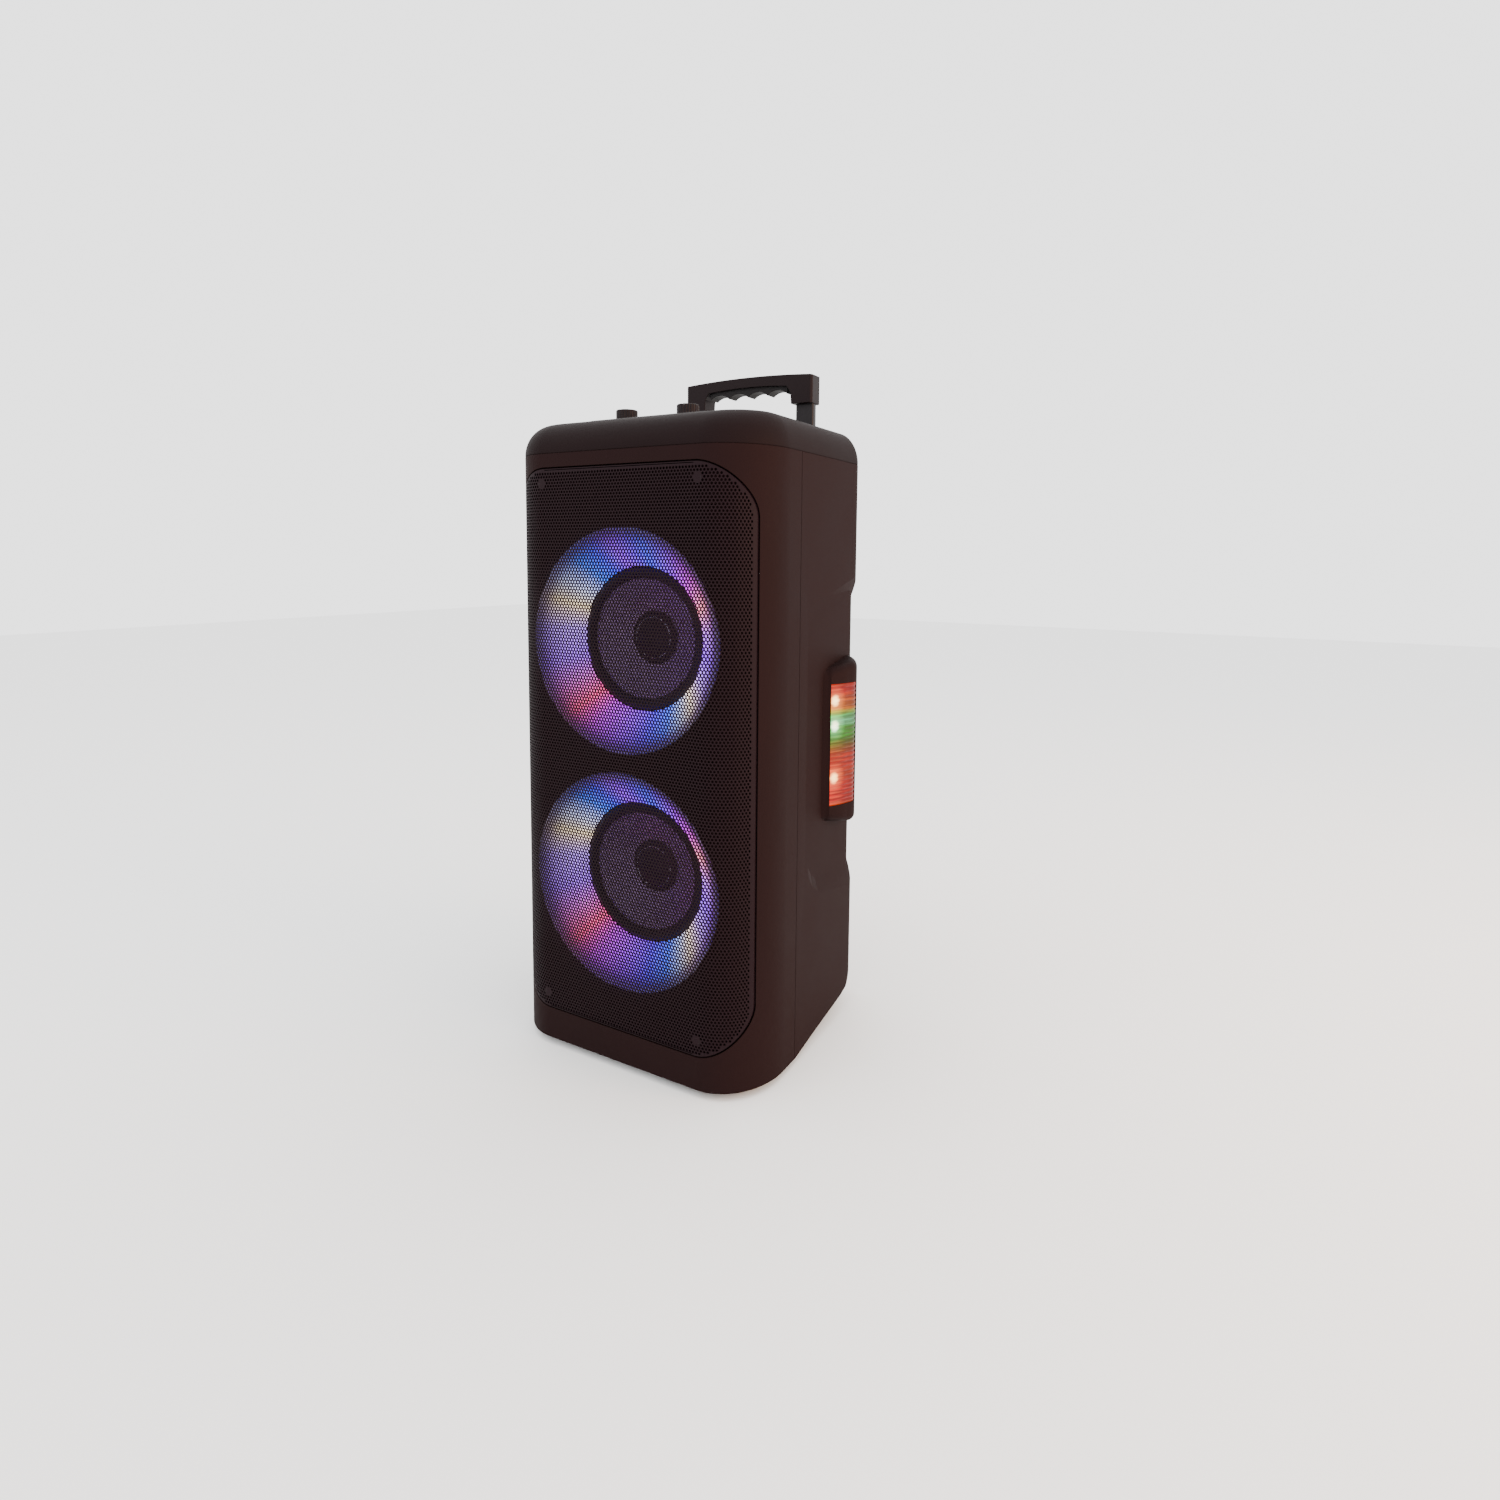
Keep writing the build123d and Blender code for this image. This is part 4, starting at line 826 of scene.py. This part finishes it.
def make_pod(side):
    """One side light: rounded housing with a lens opening, and a ribbed lens lit by three LEDs."""
    name = "right" if side > 0 else "left"
    turns = [pi / 2 * k / POD_ROUND_STEPS for k in range(POD_ROUND_STEPS + 1)]
    lower = [(POD_ROUND * (1 - sin(turn)), POD_ROUND * (1 - cos(turn))) for turn in turns]
    profile_count = len(pod_profile(0.0))
    levels = []
    for inset, drop in lower:
        levels.append([(x, y, pod_roof(y, False, drop)) for x, y in pod_profile(inset)])
    for z in (LENS_LOW, (LENS_LOW + LENS_HIGH) / 2, LENS_HIGH):
        levels.append([(x, y, z) for x, y in pod_profile(0.0)])
    for inset, drop in reversed(lower):
        levels.append([(x, y, pod_roof(y, True, drop)) for x, y in pod_profile(inset)])
    verts = [(side * max(x, floor_x(y) - 0.3 * MM), y, z) for level in levels for x, y, z in level]
    first_lens = POD_WALL_POINTS
    last_lens = next(i for i, (x, y) in enumerate(pod_profile(0.0)) if y >= LENS_REAR)
    lens_rows = (POD_ROUND_STEPS + 1, POD_ROUND_STEPS + 2)
    faces = []
    for row in range(len(levels) - 1):
        for i in range(profile_count - 1):
            if row in lens_rows and first_lens <= i < last_lens:
                continue
            a = row * profile_count + i
            faces.append((a, a + 1, a + 1 + profile_count, a + profile_count))
    top = (len(levels) - 1) * profile_count
    faces.append(tuple(range(profile_count)))
    faces.append(tuple(range(top, top + profile_count)))
    # The opening's lip turns inward round the lens.
    profile = pod_profile(0.0)[first_lens : last_lens + 1]
    inner = pod_profile(2.2 * MM)[first_lens : last_lens + 1]
    for z in (LENS_LOW, LENS_HIGH):
        start = len(verts)
        verts += [(side * x, y, z) for x, y in profile] + [(side * x, y, z) for x, y in inner]
        count = len(profile)
        for i in range(start, start + count - 1):
            faces.append((i, i + 1, count + i + 1, count + i))
    for one, two in ((profile[0], inner[0]), (profile[-1], inner[-1])):
        start = len(verts)
        verts += [(side * p[0], p[1], z) for p in (one, two) for z in (LENS_LOW, LENS_HIGH)]
        faces.append((start, start + 1, start + 3, start + 2))
    housing = piece(name + "_light_shell", verts, faces, "shell", "cabinet", weld=0.002 * MM)
    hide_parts(name + "_light_housing")

    lens_verts, lens_faces = [], []
    steps = 8 * LENS_RIBS
    shallow = pod_profile(0.5 * MM)[first_lens : last_lens + 1]
    deep = pod_profile(1.3 * MM)[first_lens : last_lens + 1]
    for k in range(steps + 1):
        z = LENS_LOW + (LENS_HIGH - LENS_LOW) * k / steps
        rise = abs(sin(pi * LENS_RIBS * k / steps)) if 0 < k < steps else 0.0
        for (x, y), (crest_x, crest_y) in zip(deep, shallow):
            lens_verts.append((side * (x + (crest_x - x) * rise), y + (crest_y - y) * rise, z))
    count = len(shallow)
    for k in range(steps):
        for i in range(count - 1):
            a = k * count + i
            lens_faces.append((a, a + 1, a + 1 + count, a + count))
    LOOKS["lens_" + name] = lens_glow(name + "_lens_glow", side)
    lens = piece(name + "_ribbed_lens", lens_verts, lens_faces, "lens_" + name, "cabinet", angle=70)
    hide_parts(name + "_light_lens")


# ---------------------------------------------------------------- small pieces


def make_tyre(side):
    """Tyre with rounded shoulders and a tread of cross grooves."""
    name = "right" if side > 0 else "left"
    low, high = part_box(name + "_wheel_tyre")
    centre = middle_of(name + "_wheel_tyre")
    radius = (high[2] - low[2]) / 2
    half = (high[0] - low[0]) / 2
    inner = radius - 6 * MM
    section = [(inner, -half), (radius - 3.2 * MM, -half), (radius - 1.4 * MM, -half + 0.7 * MM)]
    section += [(radius - 0.4 * MM, -half + 2 * MM), (radius, -half + 3.6 * MM), (radius, -1.6 * MM)]
    section += [(radius - 1.1 * MM, -1.1 * MM)]
    section += [(r, -x) for r, x in reversed(section)]
    body = name + "_wheel"
    tyre = turned(name + "_tyre", section, centre, "tyre", body, axis="X", segments=TYRE_TURNS, angle=25)
    for vertex in tyre.data.vertices:
        offset = vertex.co - Vector(centre)
        distance = hypot(offset.y, offset.z)
        turn = round(atan2(offset.z, offset.y) / (2 * pi) * TYRE_TURNS)
        if distance > radius - 0.2 * MM and turn % GROOVE_EVERY == 0:
            scale = (radius - GROOVE_DEPTH) / distance
            vertex.co.y = centre[1] + offset.y * scale
            vertex.co.z = centre[2] + offset.z * scale
    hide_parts(name + "_wheel_tyre")


def flat_shape(points, z):
    """A thin printed plate from plan points."""
    count = len(points)
    verts = [(x, y, z) for x, y in points] + [(x, y, z + MARK_T) for x, y in points]
    faces = [tuple(reversed(range(count))), tuple(range(count, 2 * count))]
    faces += [(i, (i + 1) % count, count + (i + 1) % count, count + i) for i in range(count)]
    return verts, faces


def disc(centre, radius, z, last=340, steps=12):
    """A printed dot."""
    return flat_shape(arc_points(centre, radius, 0, last, steps), z)


def bar(low_x, low_y, high_x, high_y, z):
    """A printed bar."""
    return flat_shape([(low_x, low_y), (high_x, low_y), (high_x, high_y), (low_x, high_y)], z)


def ring_arc(centre, inner, outer, first, last, z):
    """Part of a flat ring."""
    points = arc_points(centre, outer, first, last, ARC_STEPS)
    return flat_shape(points + arc_points(centre, inner, last, first, ARC_STEPS), z)


def middle_of(node):
    """Middle of a node's box."""
    low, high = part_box(node)
    return tuple((a + b) / 2 for a, b in zip(low, high))


def mark_spot(button):
    """Place of the symbol in front of a button, in plan."""
    x, y, _ = middle_of(button)
    return x, y - MARK_GAP


def make_marks():
    """Printed scales round the knobs and a plain symbol in front of each button."""
    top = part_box("control_panel")[1][2]
    parts = []
    for node in ("left_knob", "right_knob"):
        x, y, _ = middle_of(node)
        for i in range(11):
            turn = radians(-60 + 30 * i)
            size = 0.5 * MM if 0 < i < 10 else 0.8 * MM
            parts.append(disc((x + SCALE_R * cos(turn), y + SCALE_R * sin(turn)), size, top))

    x, y = mark_spot("power_button")
    parts.append(ring_arc((x, y), 1.5 * MM, 2.0 * MM, 125, 415, top))
    parts.append(bar(x - 0.25 * MM, y + 0.4 * MM, x + 0.25 * MM, y + 2.3 * MM, top))

    x, y = mark_spot("source_button")
    for shift in (-1.4 * MM, 1.4 * MM):
        parts.append(ring_arc((x + shift, y), 0.7 * MM, 1.1 * MM, 0, 350, top))

    x, y = mark_spot("play_button")
    arrow = [(x - 1.8 * MM, y - 1.7 * MM), (x + 0.6 * MM, y), (x - 1.8 * MM, y + 1.7 * MM)]
    parts.append(flat_shape(arrow, top))
    parts.append(bar(x + 1.1 * MM, y - 1.7 * MM, x + 1.6 * MM, y + 1.7 * MM, top))

    x, y = mark_spot("light_button")
    parts.append(disc((x, y), 0.9 * MM, top, steps=14))
    for i in range(8):
        turn = 2 * pi * i / 8
        spot = (x + 1.9 * MM * cos(turn), y + 1.9 * MM * sin(turn))
        parts.append(disc(spot, 0.25 * MM, top, last=300, steps=6))
    made = piece("panel_marks", *gather(parts), "ink", "cabinet")


def make_display():
    """Lit bars of a level display on the smoked window."""
    low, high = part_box("display_window")
    parts = []
    count = len(BAR_HEIGHTS)
    half = (high[0] - low[0]) * 0.7 / count / 2
    for i, tall in enumerate(BAR_HEIGHTS):
        x = (low[0] + high[0]) / 2 + (i - (count - 1) / 2) * half * 2.5
        for k in range(tall):
            y = low[1] + 5 * MM + k * 1.9 * MM
            far_corner = (x + half, y + 1.2 * MM, high[2] + 0.03 * MM)
            parts.append(block_mesh((x - half, y, high[2]), far_corner))
    made = piece("display_bars", *gather(parts), "lit_bar", "cabinet")


# ---------------------------------------------------------------- dressing the CAD nodes


def dress_nodes():
    """Materials and rounded edges of the pieces whose CAD shape stays."""
    plain = {
        "front_shell": ("shell", 0.8),
        "rear_shell": ("shell", 0.8),
        "top_cap": ("cap", 0.6),
        "control_panel": ("panel", 0.4),
        "display_window": ("glass", 0.2),
        "trolley_cover": ("shell", 0.8),
        "rear_panel": ("panel", 0.4),
        "grip_shell": ("grip", 1.1),
        "grip_insert": ("insert", 0.9),
        "release_button": ("knob", 0.6),
        "inner_tubes": ("tube", 0.0),
        "middle_tubes": ("tube", 0.0),
        "outer_tubes": ("tube", 0.0),
        "wheel_axles": ("steel", 0.4),
        "left_wheel_hub": ("hub", 0.5),
        "right_wheel_hub": ("hub", 0.5),
        "front_feet": ("rubber", 0.0),
        "mic_jacks": ("socket", 0.3),
        "usb_port": ("steel", 0.15),
        "mains_inlet": ("socket", 0.3),
        "power_switch": ("socket", 0.3),
        "power_rocker": ("socket", 0.4),
        "bass_port": ("shell", 0.4),
        "amplifier_board": ("board", 0.0),
        "power_supply": ("board", 0.0),
        "control_board": ("board", 0.0),
        "ring_light_boards": ("board", 0.0),
        "side_light_boards": ("board", 0.0),
        "battery_pack": ("battery", 1.0),
        "potentiometers": ("steel", 0.2),
        "driver_frames": ("basket", 0.4),
        "driver_magnets": ("magnet", 0.5),
        "driver_screws": ("screw", 0.0),
        "grille_screws": ("screw", 0.15),
        "case_screws": ("screw", 0.3),
        "left_knob": ("knob", 0.25),
        "right_knob": ("knob", 0.25),
    }
    for place in DRIVERS:
        plain[place + "_voice_coil"] = ("copper", 0.0)
        plain[place + "_spider"] = ("spider", 0.0)
    for button in ("power", "source", "play", "light"):
        plain[button + "_button"] = ("knob", 0.3)
    for node, (look, width) in plain.items():
        dress(node, look, width * MM)


# ---------------------------------------------------------------- studio


def make_studio():
    """Pale floor, soft light and a plain white surround."""
    bpy.ops.mesh.primitive_plane_add(size=12)
    floor = bpy.context.object
    floor.name = "floor"
    look = Look("floor_paint")
    look.set(Base_Color=(0.86, 0.86, 0.86, 1), Roughness=0.9, Specular_IOR_Level=0.1)
    floor.data.materials.append(look.material)

    world = bpy.data.worlds.new("studio")
    bpy.context.scene.world = world
    world.use_nodes = True
    tree = world.node_tree
    background = tree.nodes["Background"]
    background.inputs["Color"].default_value = (1, 1, 1, 1)
    background.inputs["Strength"].default_value = 2.6

    lamps = (
        ("key", (-1.2, -1.6, 2.2), 1.6, 12, (1.0, 0.96, 0.94)),
        ("top", (0.3, 0.2, 2.4), 1.8, 12, (1.0, 1.0, 1.0)),
        ("side", (2.2, 0.2, 0.8), 1.2, 55, (1.0, 0.56, 0.26)),
    )
    for name, spot, size, power, colour in lamps:
        lamp = bpy.data.lights.new(name, "AREA")
        lamp.color = colour
        lamp.size = size
        lamp.energy = power
        holder = bpy.data.objects.new(name, lamp)
        holder.location = spot
        holder.rotation_euler = (Vector((0, 0, 0.35)) - Vector(spot)).to_track_quat("-Z", "Y").to_euler()
        bpy.context.collection.objects.link(holder)


def make_camera():
    """Camera above the right front edge, slightly turned down."""
    data = bpy.data.cameras.new("camera")
    camera = bpy.data.objects.new("camera", data)
    bpy.context.collection.objects.link(camera)
    right = Vector((0.86888, 0.49495, 0.00829))
    down = Vector((0.05238, -0.07526, -0.99579))
    ahead = right.cross(down)
    turn = Matrix((right, -down, -ahead)).transposed()
    camera.matrix_world = Matrix.Translation((0.52534, FRONT - 0.65807, 0.51436)) @ turn.to_4x4()
    data.sensor_width = 36
    data.lens = 20.91
    data.shift_x = -0.002
    data.shift_y = -0.076
    data.clip_start = 0.02
    bpy.context.scene.camera = camera


make_camera()
make_studio()
dress_nodes()
make_grille()
for driver_place in DRIVERS:
    make_driver(driver_place)
for pod_side in (1, -1):
    make_pod(pod_side)
    make_tyre(pod_side)
make_marks()
make_display()
